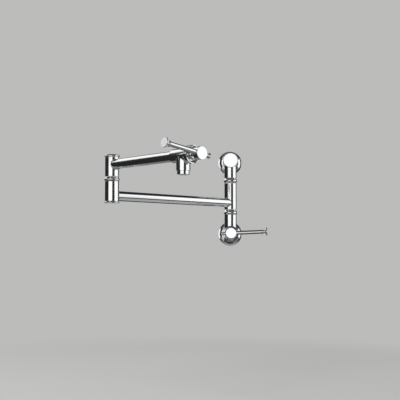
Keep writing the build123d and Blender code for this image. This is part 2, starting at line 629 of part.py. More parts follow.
# ---------------------------------------------------------------- spout
def spout_body():
    """Tee that takes the arm behind, the cartridge in front and the aerator below."""
    at_spout = OUTER * Pos(OUTER_REACH, 0, OUTER_ARM_Z)
    along = at_spout * Rot(0, 90, 0)
    barrel = along * rod(SPOUT_BARREL_R, -SOCKET_MOUTH, SHOULDER)
    leg = at_spout * rod(SPOUT_LEG_R, -SPOUT_LEG, 0)
    body = tee(barrel, leg, SPOUT_ROUND)
    body += SPOUT_VALVE * rod(NOSE_R, -NOSE_LEN, NOSE_LEN)
    body -= along * rod(ARM_R + RUN_FIT, -SOCKET_MOUTH, -SOCKET_FLOOR)
    body -= along * rod(PORT_R, -SOCKET_FLOOR, 0)
    body -= SPOUT_VALVE * rod(CARTRIDGE_R + RUN_FIT, CAVITY_FLOOR, NOSE_LEN)
    body -= at_spout * rod(SPOUT_BORE_R, -SPOUT_LEG, 0)
    thread = AERATOR_THREAD_LEN + AERATOR_GASKET_T
    return body - at_spout * rod(AERATOR_THREAD_R + RUN_FIT, -SPOUT_LEG, -SPOUT_LEG + thread)


def aerator_housing():
    """Smooth shell that screws up into the spout and holds the honeycomb on its lip."""
    shell = rounded(rod(AERATOR_R, -AERATOR_H, 0), AERATOR_R, -AERATOR_H, AERATOR_EDGE)
    shell -= tube(AERATOR_R + CUT_PAST, AERATOR_R - AERATOR_GROOVE_DEPTH, -AERATOR_GROOVE_H, 0)
    shell += rod(AERATOR_THREAD_R, 0, AERATOR_THREAD_LEN)
    shell -= rod(AERATOR_BORE_R, -AERATOR_H + AERATOR_LIP, AERATOR_THREAD_LEN)
    return shell - rod(AERATOR_BORE_R - AERATOR_LIP, -AERATOR_H, AERATOR_THREAD_LEN)


def honeycomb():
    """Disc of hexagonal cells that straightens the stream."""
    start = -AERATOR_H + AERATOR_LIP
    disc = rod(AERATOR_BORE_R - RUN_FIT, start, start + HONEYCOMB_T)
    pitch = HONEYCOMB_CELL_R + HONEYCOMB_WEB / 2
    cells = []
    for place in HexLocations(pitch, HONEYCOMB_ROWS, HONEYCOMB_ROWS):
        if place.position.length < AERATOR_BORE_R - 2 * HONEYCOMB_CELL_R:
            cells.append(place * RegularPolygon(HONEYCOMB_CELL_R, 6))
    cut = extrude(Sketch() + cells, HONEYCOMB_T)
    return disc - Pos(0, 0, start) * cut


def aerator_gasket():
    top = AERATOR_THREAD_LEN + AERATOR_GASKET_T
    return tube(AERATOR_THREAD_R - GASKET_SLACK, SPOUT_BORE_R, AERATOR_THREAD_LEN, top)


# ---------------------------------------------------------------- valve, built along Z from the shoulder
def cartridge_body():
    """Quarter-turn headwork: hexagon, thread and a slim cage with two windows."""
    thread_end = NOSE_LEN - CARTRIDGE_THREAD_LEN
    body = rod(CAGE_R, -CARTRIDGE_DEPTH, thread_end)
    body += rod(CARTRIDGE_R, thread_end, NOSE_LEN)
    hexagon = RegularPolygon(CARTRIDGE_R, 6, major_radius=False)
    body += Pos(0, 0, NOSE_LEN) * extrude(hexagon, CARTRIDGE_HEX_H)
    body -= rod(DISC_R + RUN_FIT, -CARTRIDGE_DEPTH, -CHAMBER_DEPTH)
    body -= rod(SPINDLE_R + RUN_FIT, -CHAMBER_DEPTH, NOSE_LEN + CARTRIDGE_HEX_H)
    window = Box(2 * CARTRIDGE_R, WINDOW_W, WINDOW_H, align=(Align.CENTER, Align.CENTER, Align.MAX))
    return body - Pos(0, 0, -WINDOW_DEPTH) * window


def ceramic_disc(start):
    """Lapped disc with two wedge-shaped ports."""
    wedge = make_face(
        [
            PolarLine((0, 0), DISC_PORT_R, -DISC_PORT_ANGLE / 2),
            CenterArc((0, 0), DISC_PORT_R, -DISC_PORT_ANGLE / 2, DISC_PORT_ANGLE),
            PolarLine((0, 0), DISC_PORT_R, DISC_PORT_ANGLE / 2),
        ]
    )
    port = wedge - Circle(DISC_HUB_R)
    ports = extrude(port + Rot(0, 0, 180) * port, DISC_T)
    return rod(DISC_R, start, start + DISC_T) - Pos(0, 0, start) * ports


def seat_gasket():
    return tube(CAGE_R - GASKET_SLACK, DISC_PORT_R, CAVITY_FLOOR, -CARTRIDGE_DEPTH)


def bonnet_ring():
    """Dished shroud that screws over the nose and hides the hexagon."""
    floor = BONNET_H - BONNET_DISH
    inside = NOSE_R + RUN_FIT
    lip_half = BONNET_LIP / 2
    lip_foot = BONNET_H - lip_half
    lip_inside = BONNET_R - BONNET_LIP
    return spun(
        Line((inside, 0), (BONNET_R - BONNET_BACK_EDGE, 0)),
        quarter_round((BONNET_R, BONNET_BACK_EDGE), (BONNET_R - BONNET_BACK_EDGE, 0)),
        Line((BONNET_R, BONNET_BACK_EDGE), (BONNET_R, lip_foot)),
        ThreePointArc((BONNET_R, lip_foot), (BONNET_R - lip_half, BONNET_H), (lip_inside, lip_foot)),
        bowl((lip_inside, lip_foot), (BONNET_FLOOR_R, floor)),
        Line((BONNET_FLOOR_R, floor), (HUB_NECK_R, floor)),
        Line((HUB_NECK_R, floor), (HUB_NECK_R, floor - BONNET_FLOOR_T)),
        Line((HUB_NECK_R, floor - BONNET_FLOOR_T), (inside, floor - BONNET_FLOOR_T)),
        Line((inside, floor - BONNET_FLOOR_T), (inside, 0)),
    )


def spline(radius, start, end):
    """Serrated shaft."""
    root = radius - SPLINE_DEPTH
    step = 360 / SPLINE_TEETH
    points = []
    for tooth in range(SPLINE_TEETH):
        for reach, turn in ((root, 0.0), (radius, 0.25), (radius, 0.5), (root, 0.75)):
            angle = radians(step * (tooth + turn))
            points.append((reach * cos(angle), reach * sin(angle)))
    return Pos(0, 0, start) * extrude(make_face(Polyline(*points, close=True)), end - start)


def spindle():
    """Shaft that turns the moving disc by a dog and carries the hub on its serrations."""
    serrated = HUB_START - AXIAL_PLAY
    shaft = rod(SPINDLE_R, DOG_START, serrated) + spline(SPINDLE_R, serrated, SPINDLE_END)
    dog = Pos(0, 0, DOG_START + DOG_T / 2) * Box(2 * DISC_R, DOG_W, DOG_T)
    shaft += dog & rod(DISC_R - GASKET_SLACK, DOG_START, DOG_START + DOG_T)
    seal_end = SPINDLE_SEAL_W - SPINDLE_SEAL_BACK
    seal_floor_r = SPINDLE_R - SPINDLE_SEAL_DEPTH
    shaft -= tube(SPINDLE_R + CUT_PAST, seal_floor_r, -SPINDLE_SEAL_BACK, seal_end)
    tap_floor = SCREW_FLOOR - HANDLE_SCREW_LEN - SPIGOT_ROOM
    return shaft - rod(HANDLE_SCREW_R + RUN_FIT, tap_floor, SPINDLE_END)


def spindle_o_ring():
    return o_ring(SPINDLE_R, -SPINDLE_SEAL_BACK, SPINDLE_SEAL_DEPTH, SPINDLE_SEAL_W)


# ---------------------------------------------------------------- handle, lever along local X
def handle_hub():
    """Drum on a waisted neck, with seats for the lever and its tail."""
    skirt = HUB_START + HUB_SKIRT_H
    waist = skirt + HUB_NECK_HOLLOW
    blend = HUB_BACK - HUB_NECK_FLARE
    drum_foot = HUB_NECK_R + HUB_NECK_FLARE
    hub = spun(
        Line((0, HUB_START), (HUB_SKIRT_R, HUB_START)),
        Line((HUB_SKIRT_R, HUB_START), (HUB_SKIRT_R, skirt)),
        hollow((HUB_SKIRT_R, skirt), (HUB_NECK_R, waist)),
        Line((HUB_NECK_R, waist), (HUB_NECK_R, blend)),
        hollow((drum_foot, HUB_BACK), (HUB_NECK_R, blend)),
        Line((drum_foot, HUB_BACK), (HUB_R - HUB_EDGE, HUB_BACK)),
        quarter_round((HUB_R, HUB_BACK + HUB_EDGE), (HUB_R - HUB_EDGE, HUB_BACK)),
        Line((HUB_R, HUB_BACK + HUB_EDGE), (HUB_R, HUB_FACE)),
        Line((HUB_R, HUB_FACE), (0, HUB_FACE)),
        Line((0, HUB_FACE), (0, HUB_START)),
    )
    hub -= spline(SPINDLE_R + RUN_FIT, HUB_START, SPINDLE_END + AXIAL_PLAY)
    hub -= rod(HANDLE_SCREW_R + HUB_SCREW_ROOM, SPINDLE_END, SCREW_FLOOR)
    hub -= rod(HANDLE_SCREW_HEAD_R + HUB_SCREW_ROOM, SCREW_FLOOR, HUB_FACE)
    hub -= rod(HUB_CAP_SPIGOT_R + RUN_FIT, HUB_FACE - HUB_CAP_SPIGOT_LEN - AXIAL_PLAY, HUB_FACE)
    depth = LEVER_SEAT - LEVER_THREAD_LEN - RUN_FIT
    for side in (-1, 1):
        hub -= cross_rod(LEVER_R + RUN_FIT, side * LEVER_SEAT, side * (HUB_R + CUT_PAST), LEVER_AHEAD)
        hub -= cross_rod(LEVER_THREAD_R + RUN_FIT, side * depth, side * LEVER_SEAT, LEVER_AHEAD)
    return hub


def handle_cap():
    face = HUB_FACE + HUB_CAP_T
    cap = rounded(rod(HUB_R, HUB_FACE, face), HUB_R, face, HUB_CAP_EDGE)
    bore = HUB_CAP_SPIGOT_R - HUB_CAP_SPIGOT_WALL
    ring = tube(HUB_CAP_SPIGOT_R, bore, HUB_FACE - HUB_CAP_SPIGOT_LEN, HUB_FACE)
    return cap + ring


def handle_screw():
    screw = rod(HANDLE_SCREW_HEAD_R, SCREW_FLOOR, SCREW_FLOOR + HANDLE_SCREW_HEAD_H)
    screw += rod(HANDLE_SCREW_R, SCREW_FLOOR - HANDLE_SCREW_LEN, SCREW_FLOOR)
    socket = extrude(RegularPolygon(HANDLE_SCREW_KEY / 2, 6, major_radius=False), HANDLE_SCREW_KEY_DEPTH)
    return screw - Pos(0, 0, SCREW_FLOOR + HANDLE_SCREW_HEAD_H - HANDLE_SCREW_KEY_DEPTH) * socket


def lever():
    """Turned rod with a bead, a waist and a flared button at its end."""
    rod_end = LEVER_SEAT + LEVER_ROD_LEN
    bead_end = rod_end + LEVER_BEAD_W
    neck_end = bead_end + LEVER_NECK_W
    shank = [
        Line((LEVER_R, LEVER_SEAT), (LEVER_TIP_R, rod_end)),
        bead(LEVER_TIP_R, LEVER_BEAD_PROUD, rod_end, bead_end),
        Line((LEVER_TIP_R, bead_end), (LEVER_NECK_R, bead_end)),
        Line((LEVER_NECK_R, bead_end), (LEVER_NECK_R, neck_end)),
    ]
    rim = (LEVER_BUTTON_R, neck_end + LEVER_FLARE_H)
    return spun_arm(shank, LEVER_R, (LEVER_NECK_R, neck_end), rim, LEVER_BUTTON_T)


def tail():
    """Short counterpart of the lever on the other side of the hub."""
    stem_end = LEVER_SEAT + TAIL_STEM_LEN
    shank = [Line((TAIL_STEM_R, LEVER_SEAT), (TAIL_STEM_R, stem_end))]
    rim = (TAIL_BUTTON_R, stem_end + TAIL_FLARE_H)
    return Rot(0, 0, 180) * spun_arm(shank, TAIL_STEM_R, (TAIL_STEM_R, stem_end), rim, TAIL_BUTTON_T)


def spun_arm(shank, seat_r, flare, rim, button_t):
    """Threaded root, a shank, then a flare out to a crowned button, laid along local X."""
    root = LEVER_SEAT - LEVER_THREAD_LEN
    button_r, rim_start = rim
    rim_end = rim_start + button_t
    end = rim_end + BUTTON_CROWN
    turned = spun(
        Line((0, root), (LEVER_THREAD_R, root)),
        Line((LEVER_THREAD_R, root), (LEVER_THREAD_R, LEVER_SEAT)),
        Line((LEVER_THREAD_R, LEVER_SEAT), (seat_r, LEVER_SEAT)),
        *shank,
        hollow(rim, flare),
        bead(button_r, BUTTON_BULGE, rim_start, rim_end),
        crown(button_r, rim_end, end),
        Line((0, end), (0, root)),
    )
    return Pos(0, 0, LEVER_AHEAD) * Rot(0, 90, 0) * turned


# ---------------------------------------------------------------- assembly
def at_both_walls(part):
    return [INLET_WALL * part, SUPPORT_WALL * part]


def at_height(height, place=POST):
    return place * Pos(0, 0, height)


parts = {
    "inlet_body": inlet_body(),
    "inlet_flange": INLET_WALL * wall_flange(),
    "support_flange": SUPPORT_WALL * wall_flange(),
    "flange_set_screws": at_both_walls(
        flange_grub(GRUB_R, BARREL_R + RUN_FIT, FLANGE_NECK_R - GRUB_SINK)
    ),
    "wall_bracket": SUPPORT_WALL * wall_bracket(),
    "support_body": support_body(),
    "support_set_screws": [
        SUPPORT_WALL
        * support_grub(side, SUPPORT_GRUB_R, BRACKET_BOSS_R + RUN_FIT, BARREL_R - GRUB_SINK)
        for side in (-1, 1)
    ],
    "support_cap": SUPPORT_WALL * support_cap(),
    "lower_collar": at_height(LOWER_COLLAR_Z) * collar(POST_COLLAR_H),
    "upper_collar": at_height(UPPER_COLLAR_Z) * collar(POST_COLLAR_H),
    "lower_thrust_washer": at_height(LOWER_COLLAR_Z + POST_COLLAR_H) * thrust_washer(),
    "upper_thrust_washer": at_height(UPPER_COLLAR_Z - WASHER_T) * thrust_washer(),
    "post_stem": POST
    * swivel_stem(
        INLET_LEG - STEM_THREAD_LEN,
        BARREL_BOTTOM + SEAL_INSET,
        INNER_ARM_Z,
        STEM_TOP - STEM_TOP_SEAL_DROP,
        STEM_TOP,
    ),
    "post_stem_o_rings": [
        POST * o_ring(SWIVEL_R, BARREL_BOTTOM + SEAL_INSET),
        POST * o_ring(SWIVEL_R, STEM_TOP - STEM_TOP_SEAL_DROP),
    ],
    "pivot_pin": POST * pivot_pin(),
    "pivot_o_ring": POST * o_ring(SWIVEL_R, BARREL_TOP - SEAL_INSET - O_RING_GROOVE),
    "post_barrel": INNER * ported_barrel(BARREL_BOTTOM, BARREL_TOP, INNER_ARM_Z, 1),
    "inner_arm_tube": inner_arm_tube(),
    "elbow_lower_barrel": ELBOW * ported_barrel(ELBOW_BOTTOM, ELBOW_COLLAR_Z, INNER_ARM_Z, -1),
    "elbow_base_cap": at_height(ELBOW_BOTTOM, ELBOW) * elbow_base_cap(),
    "elbow_collar": at_height(ELBOW_COLLAR_Z, ELBOW) * collar(ELBOW_COLLAR_H),
    "elbow_thrust_washer": at_height(ELBOW_COLLAR_Z + ELBOW_COLLAR_H, ELBOW) * thrust_washer(),
    "elbow_stem": elbow_stem(),
    "elbow_stem_o_rings": [
        ELBOW * o_ring(SWIVEL_R, UPPER_BOTTOM + SEAL_INSET),
        ELBOW * o_ring(SWIVEL_R, NUT_SEAT - NUT_SEAL_DROP),
    ],
    "elbow_retaining_nut": elbow_nut(),
    "elbow_upper_barrel": elbow_upper_barrel(),
    "elbow_top_cap": at_height(UPPER_TOP, OUTER) * elbow_top_cap(),
    "outer_arm_tube": outer_arm_tube(),
    "spout_body": spout_body(),
}

outlet = OUTER * Pos(OUTER_REACH, 0, OUTER_ARM_Z - SPOUT_LEG)
parts["aerator_housing"] = outlet * aerator_housing()
parts["aerator_honeycomb"] = outlet * honeycomb()
parts["aerator_gasket"] = outlet * aerator_gasket()

for name, valve, lever_angle in (
    ("inlet", INLET_VALVE, INLET_LEVER_ANGLE),
    ("spout", SPOUT_VALVE, SPOUT_LEVER_ANGLE),
):
    turned = valve * Rot(0, 0, lever_angle)
    parts[name + "_cartridge_body"] = valve * cartridge_body()
    parts[name + "_fixed_disc"] = valve * ceramic_disc(-CARTRIDGE_DEPTH)
    parts[name + "_seat_gasket"] = valve * seat_gasket()
    parts[name + "_bonnet_ring"] = valve * bonnet_ring()
    parts[name + "_moving_disc"] = turned * ceramic_disc(MOVING_DISC_START)
    parts[name + "_spindle"] = turned * spindle()
    parts[name + "_spindle_o_ring"] = turned * spindle_o_ring()
    parts[name + "_handle_hub"] = turned * handle_hub()
    parts[name + "_handle_cap"] = turned * handle_cap()
    parts[name + "_handle_screw"] = turned * handle_screw()
    parts[name + "_lever"] = turned * lever()
    parts[name + "_lever_tail"] = turned * tail()

os.makedirs("parts", exist_ok=True)
for node, shape in parts.items():
    group = shape if isinstance(shape, list) else [shape]
    solids = [solid for piece in group for solid in piece.solids()]
    export_step(Compound(children=solids) if len(solids) > 1 else solids[0], f"parts/{node}.step")
print(len(parts), "nodes")
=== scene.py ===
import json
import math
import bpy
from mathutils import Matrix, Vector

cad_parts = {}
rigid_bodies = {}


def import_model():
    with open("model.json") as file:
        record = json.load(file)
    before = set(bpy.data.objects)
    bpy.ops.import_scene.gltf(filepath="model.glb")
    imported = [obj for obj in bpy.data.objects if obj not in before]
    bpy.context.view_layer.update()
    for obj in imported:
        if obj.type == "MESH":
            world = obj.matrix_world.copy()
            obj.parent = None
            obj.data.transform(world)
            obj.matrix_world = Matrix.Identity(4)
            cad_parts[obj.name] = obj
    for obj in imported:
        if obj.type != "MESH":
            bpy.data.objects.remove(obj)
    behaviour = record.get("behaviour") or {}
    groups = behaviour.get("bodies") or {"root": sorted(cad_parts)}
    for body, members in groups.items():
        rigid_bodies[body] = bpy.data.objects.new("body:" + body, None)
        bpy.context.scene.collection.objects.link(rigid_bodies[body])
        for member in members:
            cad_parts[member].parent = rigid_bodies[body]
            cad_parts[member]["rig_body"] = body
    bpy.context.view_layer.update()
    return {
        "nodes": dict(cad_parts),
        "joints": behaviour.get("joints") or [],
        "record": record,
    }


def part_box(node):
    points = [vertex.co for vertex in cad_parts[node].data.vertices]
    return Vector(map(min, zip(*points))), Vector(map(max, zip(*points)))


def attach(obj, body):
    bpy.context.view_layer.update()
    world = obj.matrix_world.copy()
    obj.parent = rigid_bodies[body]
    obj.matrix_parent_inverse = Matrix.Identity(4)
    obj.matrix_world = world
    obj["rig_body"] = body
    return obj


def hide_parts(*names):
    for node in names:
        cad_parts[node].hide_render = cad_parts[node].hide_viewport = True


bl_info = {
    "name": "Pot filler finish",
    "version": (1, 1, 0),
    "blender": (4, 5, 0),
    "location": "View3D > Sidebar > Pot filler",
    "description": "Shapes and finishes the pieces of a wall mounted pot filler on its packed frame",
    "category": "Object",
}

import bmesh
import bpy
from mathutils import Matrix, Vector

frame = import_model()

MM = 0.001
TURN = 2 * math.pi
JOINTS = {joint["name"]: joint for joint in frame["joints"]}
SLOTS = {part["node"]: part["material_slot"] for part in frame["record"]["subparts"]}


# ---------------------------------------- places and sizes, in millimetres
def span(node, axis):
    """Lowest and highest place of a node along one axis."""
    low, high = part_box(node)
    return low[axis] / MM, high[axis] / MM


def facing(origin, ahead):
    """Place whose Z runs ahead and whose Y runs up."""
    side = Vector((0, 0, 1)).cross(ahead).normalized()
    turn = Matrix((side, ahead.cross(side), ahead)).transposed().to_4x4()
    return Matrix.Translation(origin) @ turn


def facing_down(height):
    """Place, seen from a wall, whose Z runs down at that height off the wall."""
    return Matrix.Translation((0, 0, height)) @ Matrix.Rotation(math.pi / 2, 4, "X")


def upright(origin, along=None):
    """Place whose Z runs up and whose X runs along a level direction."""
    turn = math.atan2(along.y, along.x) if along else 0.0
    return Matrix.Translation((origin.x, origin.y, 0)) @ Matrix.Rotation(turn, 4, "Z")


POST_AT = Vector(JOINTS["inner_arm_swing"]["pos_m"]) / MM
ELBOW_AT = Vector(JOINTS["outer_arm_swing"]["pos_m"]) / MM
SPOUT_AT = Vector(JOINTS["spout_lever_turn"]["pos_m"]) / MM
TO_ROOM = Vector((0, -1, 0))
ALONG_OUTER = -Vector(JOINTS["spout_lever_turn"]["axis"])
POST = upright(POST_AT)
INNER = upright(POST_AT, ELBOW_AT - POST_AT)
ELBOW = upright(ELBOW_AT, ELBOW_AT - POST_AT)
OUTER = upright(ELBOW_AT, ALONG_OUTER)
SPOUT = upright(SPOUT_AT, ALONG_OUTER)
SUPPORT_HEIGHT = sum(span("support_flange", 2)) / 2
INLET_WALL = facing(Vector((0, 0, 0)), TO_ROOM)
SUPPORT_WALL = facing(Vector((0, 0, SUPPORT_HEIGHT)), TO_ROOM)

POST_R = 15.0
BORE_R = 10.0
SWIVEL_R = 9.95
BARREL_R = 16.0
FIT = 0.05  # clearance between pieces that slide on each other
ARM_R = 11.0
ARM_WALL = 1.5
PORT_R = 7.0
SHOULDER = POST_R + 4.5  # from the axis of a body to the seat of its valve
SOCKET_FLOOR = 15.0  # from the spout's axis to the end of the outer arm
LEVER_AHEAD = 28.7  # from a valve's seat to the axis of its lever
LEVER_R = 4.8
HUB_R = 13.0
HUB_FACE = LEVER_AHEAD + LEVER_R + 0.4  # where the cap closes the drum
CAP_SPIGOT = 2.0
LEVER_SEAT = HUB_R - 1.0  # from a valve's axis to the shoulder of its lever
INNER_ARM_Z = sum(span("inner_arm_tube", 2)) / 2
OUTER_ARM_Z = SPOUT_AT.z
INNER_REACH = (ELBOW_AT.xy - POST_AT.xy).length
OUTER_REACH = (SPOUT_AT.xy - ELBOW_AT.xy).length
AERATOR_THREAD = 8  # how far the aerator screws into the spout
SPOUT_END = span("aerator_housing", 2)[1] - AERATOR_THREAD
FLANGE_GRUB = 10.9  # height of a flange's set screw off the wall
POST_FLAT = Vector((POST_AT.x, POST_AT.y, 0))
VALVES = {
    "inlet": facing(POST_FLAT + SHOULDER * TO_ROOM, TO_ROOM),
    "spout": facing(SPOUT_AT + SHOULDER * ALONG_OUTER, ALONG_OUTER),
}


def turned_place(valve):
    """Place of a handle: its valve's, turned so that X runs along the lever."""
    lever = frame["nodes"][valve + "_lever"].data.vertices
    middle = sum((vertex.co for vertex in lever), Vector()) / len(lever) / MM
    aside = VALVES[valve].inverted() @ middle
    return VALVES[valve] @ Matrix.Rotation(math.atan2(aside.y, aside.x), 4, "Z")


HANDLES = {valve: turned_place(valve) for valve in VALVES}
LEVER_LINE = Matrix.Translation((0, 0, LEVER_AHEAD)) @ Matrix.Rotation(math.pi / 2, 4, "Y")
TAIL_LINE = Matrix.Rotation(math.pi, 4, "Z") @ LEVER_LINE


# ---------------------------------------- sizes and colours that a user would change
def length(name, description, millimetres):
    """Property for a length, with its default in millimetres."""
    return bpy.props.FloatProperty(
        name=name, description=description, default=millimetres * MM, unit="LENGTH", subtype="DISTANCE"
    )


def colour(name, description, red, green, blue):
    return bpy.props.FloatVectorProperty(
        name=name, description=description, subtype="COLOR", size=3, default=(red, green, blue)
    )


def factor(name, description, value):
    return bpy.props.FloatProperty(
        name=name, description=description, default=value, min=0.0, max=1.0, subtype="FACTOR"
    )


class PotFillerShape(bpy.types.PropertyGroup):
    """Fine shape of the turned pieces"""

    facets: bpy.props.IntProperty(
        name="Facets", description="Facets round a turned piece", default=96, min=24, subtype="UNSIGNED"
    )
    edge_break: length("Edge break", "Bevel along every outer edge of a turned piece", 0.22)
    braze: length("Braze", "Fillet of solder where an arm meets a post", 0.9)
    pitch: length("Thread pitch", "Pitch of the fine threads", 1.0)
    pipe_pitch: length("Pipe pitch", "Pitch of the supply thread", 1.814)
    pipe_depth: length("Pipe depth", "Depth of the supply thread", 1.1)
    bead_proud: length("Bead", "How far the collars' full beads stand out", 1.7)
    rim_bulge: length("Rim bulge", "Swelling of the flanges' rims", 0.11)
    taper: factor("Taper", "Slope of the shoulders beside the beads", 0.26)
    cove_dip: length("Cove", "Depth of the cove in front of each flange", 0.45)
    dish_lip: length("Dish lip", "Width of the sloping lip round a valve's dish", 1.7)
    button_bulge: length("Button bulge", "Swelling of the levers' buttons", 0.5)
    set_key: length("Set screw key", "Across the flats of the set screws' sockets", 2.0)
    handle_key: length("Handle key", "Across the flats of the handle screws' sockets", 3.0)


class PotFillerFinish(bpy.types.PropertyGroup):
    """Colours and surface of each finish"""

    chrome: colour("Chrome", "Tint of the polished plate", 0.9, 0.91, 0.92)
    chrome_thin: colour("Thin chrome", "Where the plate is thinner", 0.84, 0.85, 0.88)
    chrome_roughness: factor("Chrome roughness", "Blur of its reflections", 0.035)
    brass: colour("Brass", "Freshly turned brass", 0.74, 0.56, 0.27)
    steel: colour("Steel", "Plain stainless steel", 0.56, 0.56, 0.55)
    rubber: colour("Rubber", "Moulded seal rubber", 0.022, 0.022, 0.024)
    ceramic: colour("Ceramic", "Lapped alumina", 0.82, 0.81, 0.76)
    acetal: colour("Acetal", "Black acetal", 0.03, 0.03, 0.032)


class PotFillerStage(bpy.types.PropertyGroup):
    """Camera, floor and light"""

    camera_place: bpy.props.FloatVectorProperty(
        name="Camera",
        description="Where the camera stands",
        subtype="XYZ",
        unit="LENGTH",
        size=3,
        default=(-0.0478, -2.04, -0.0319),
    )
    camera_turn: bpy.props.FloatProperty(
        name="Turn",
        description="Camera turned left of straight at the wall",
        subtype="ANGLE",
        default=math.radians(0.803),
    )
    camera_lift: bpy.props.FloatProperty(
        name="Lift", description="Camera tipped up", subtype="ANGLE", default=math.radians(3.32)
    )
    camera_lens: bpy.props.FloatProperty(
        name="Lens", description="Focal length in millimetres", default=71.95, unit="CAMERA"
    )
    floor_level: length("Floor", "Height of the floor", -360.0)
    pool_start: length("Pool start", "Distance at which the lit floor starts to fade", 850.0)
    pool_end: length("Pool end", "Distance at which it has faded", 1250.0)
    backdrop: colour("Backdrop", "Floor and backdrop", 0.5, 0.5, 0.495)
    key_power: bpy.props.FloatProperty(
        name="Key", description="Power of the key light", default=34.0, unit="POWER"
    )
    fill: factor("Fill", "Even light from all round", 0.8)


# ---------------------------------------- node helpers
def new_material(name):
    material = bpy.data.materials.new(name)
    material.use_nodes = True
    tree = material.node_tree
    tree.nodes.clear()
    output = tree.nodes.new("ShaderNodeOutputMaterial")
    shader = tree.nodes.new("ShaderNodeBsdfPrincipled")
    tree.links.new(shader.outputs["BSDF"], output.inputs["Surface"])
    return material, tree, shader


def noise(tree, scale, detail=2.0, roughness=0.5, stretch=(1, 1, 1)):
    """Noise over the object's own coordinates, in features per metre."""
    place = tree.nodes.new("ShaderNodeTexCoord")
    mapping = tree.nodes.new("ShaderNodeMapping")
    mapping.inputs["Scale"].default_value = stretch
    texture = tree.nodes.new("ShaderNodeTexNoise")
    texture.inputs["Scale"].default_value = scale
    texture.inputs["Detail"].default_value = detail
    texture.inputs["Roughness"].default_value = roughness
    tree.links.new(place.outputs["Object"], mapping.inputs["Vector"])
    tree.links.new(mapping.outputs["Vector"], texture.inputs["Vector"])
    return texture.outputs["Fac"]


def spread(tree, value, low, high, start=0.35, end=0.65):
    """Map a noise onto a range of numbers."""
    node = tree.nodes.new("ShaderNodeMapRange")
    node.inputs["From Min"].default_value = start
    node.inputs["From Max"].default_value = end
    node.inputs["To Min"].default_value = low
    node.inputs["To Max"].default_value = high
    tree.links.new(value, node.inputs["Value"])
    return node.outputs["Result"]


def coloured(tree, shader, value, first, second):
    """Base colour that goes from one colour to another with a noise."""
    node = tree.nodes.new("ShaderNodeMix")
    node.data_type = "RGBA"
    node.inputs["A"].default_value = (*first, 1)
    node.inputs["B"].default_value = (*second, 1)
    tree.links.new(value, node.inputs["Factor"])
    tree.links.new(node.outputs["Result"], shader.inputs["Base Color"])


def roughened(tree, shader, value, low, high):
    """Roughness that goes from one value to another with a noise."""
    tree.links.new(spread(tree, value, low, high), shader.inputs["Roughness"])


def relief(tree, shader, height, distance, strength):
    """Fine unevenness of the surface that follows a noise."""
    bump = tree.nodes.new("ShaderNodeBump")
    bump.inputs["Distance"].default_value = distance
    bump.inputs["Strength"].default_value = strength
    tree.links.new(height, bump.inputs["Height"])
    tree.links.new(bump.outputs["Normal"], shader.inputs["Normal"])


def maths(tree, kind, first, second=0.0):
    """One step of arithmetic on numbers or on other nodes' results."""
    node = tree.nodes.new("ShaderNodeMath")
    node.operation = kind
    for socket, value in zip(node.inputs, (first, second)):
        if isinstance(value, (int, float)):
            socket.default_value = value
        else:
            tree.links.new(value, socket)
    return node.outputs["Value"]


def rising(tree, value, start, end):
    """Zero before the start of a range, one past its end, smooth between."""
    node = tree.nodes.new("ShaderNodeMapRange")
    node.interpolation_type = "SMOOTHSTEP"
    node.inputs["From Min"].default_value = start
    node.inputs["From Max"].default_value = end
    tree.links.new(value, node.inputs["Value"])
    return node.outputs["Result"]


def within(tree, value, low, high, soft):
    """One inside a range, zero outside it, with a soft end at either side."""
    over = rising(tree, value, low - soft, low + soft)
    return maths(tree, "SUBTRACT", over, rising(tree, value, high - soft, high + soft))


def mixed(tree, value, first, second):
    node = tree.nodes.new("ShaderNodeMixShader")
    tree.links.new(value, node.inputs["Fac"])
    tree.links.new(first, node.inputs[1])
    tree.links.new(second, node.inputs[2])
    return node.outputs["Shader"]


def shade(colours, amount):
    return tuple(channel * amount for channel in colours)


# ---------------------------------------- finishes
def polished_chrome(finish):
    """Bright plate, a little thinner in places, with the faint waviness of hand polishing."""
    material, tree, shader = new_material("polished_chrome")
    shader.inputs["Metallic"].default_value = 1.0
    patches = spread(tree, noise(tree, 9.0, 3.0), 0, 1)
    coloured(tree, shader, patches, finish.chrome, finish.chrome_thin)
    wipes = noise(tree, 60.0, 4.0, 0.6, (1, 1, 0.25))
    low = finish.chrome_roughness
    roughened(tree, shader, wipes, low * 0.7, low * 1.6)
    relief(tree, shader, noise(tree, 140.0, 1.0), 0.01 * MM, 0.25)
    return material


def bare_brass(finish):
    """Machined brass with turning marks and a slight tarnish."""
    material, tree, shader = new_material("bare_brass")
    shader.inputs["Metallic"].default_value = 1.0
    tarnish = noise(tree, 120.0, 4.0)
    bright = spread(tree, tarnish, 0, 1)
    coloured(tree, shader, bright, finish.brass, shade(finish.brass, 0.72))
    roughened(tree, shader, tarnish, 0.2, 0.34)
    relief(tree, shader, noise(tree, 500.0, 2.0, 0.5, (0.08, 0.08, 4)), 0.03 * MM, 0.5)
    return material


def stainless_steel(finish):
    """Plain steel with a fine rolled grain."""
    material, tree, shader = new_material("stainless_steel")
    shader.inputs["Metallic"].default_value = 1.0
    grain = noise(tree, 900.0, 3.0, 0.6, (0.05, 1, 1))
    bright = spread(tree, grain, 0, 1)
    coloured(tree, shader, bright, finish.steel, shade(finish.steel, 0.8))
    roughened(tree, shader, grain, 0.24, 0.4)
    relief(tree, shader, grain, 0.02 * MM, 0.5)
    return material


def black_rubber(finish):
    """Seal rubber with a dull moulded skin."""
    material, tree, shader = new_material("black_rubber")
    shader.inputs["Specular IOR Level"].default_value = 0.35
    skin = noise(tree, 700.0, 3.0)
    coloured(tree, shader, skin, finish.rubber, shade(finish.rubber, 1.8))
    roughened(tree, shader, skin, 0.5, 0.68)
    relief(tree, shader, skin, 0.04 * MM, 0.5)
    return material


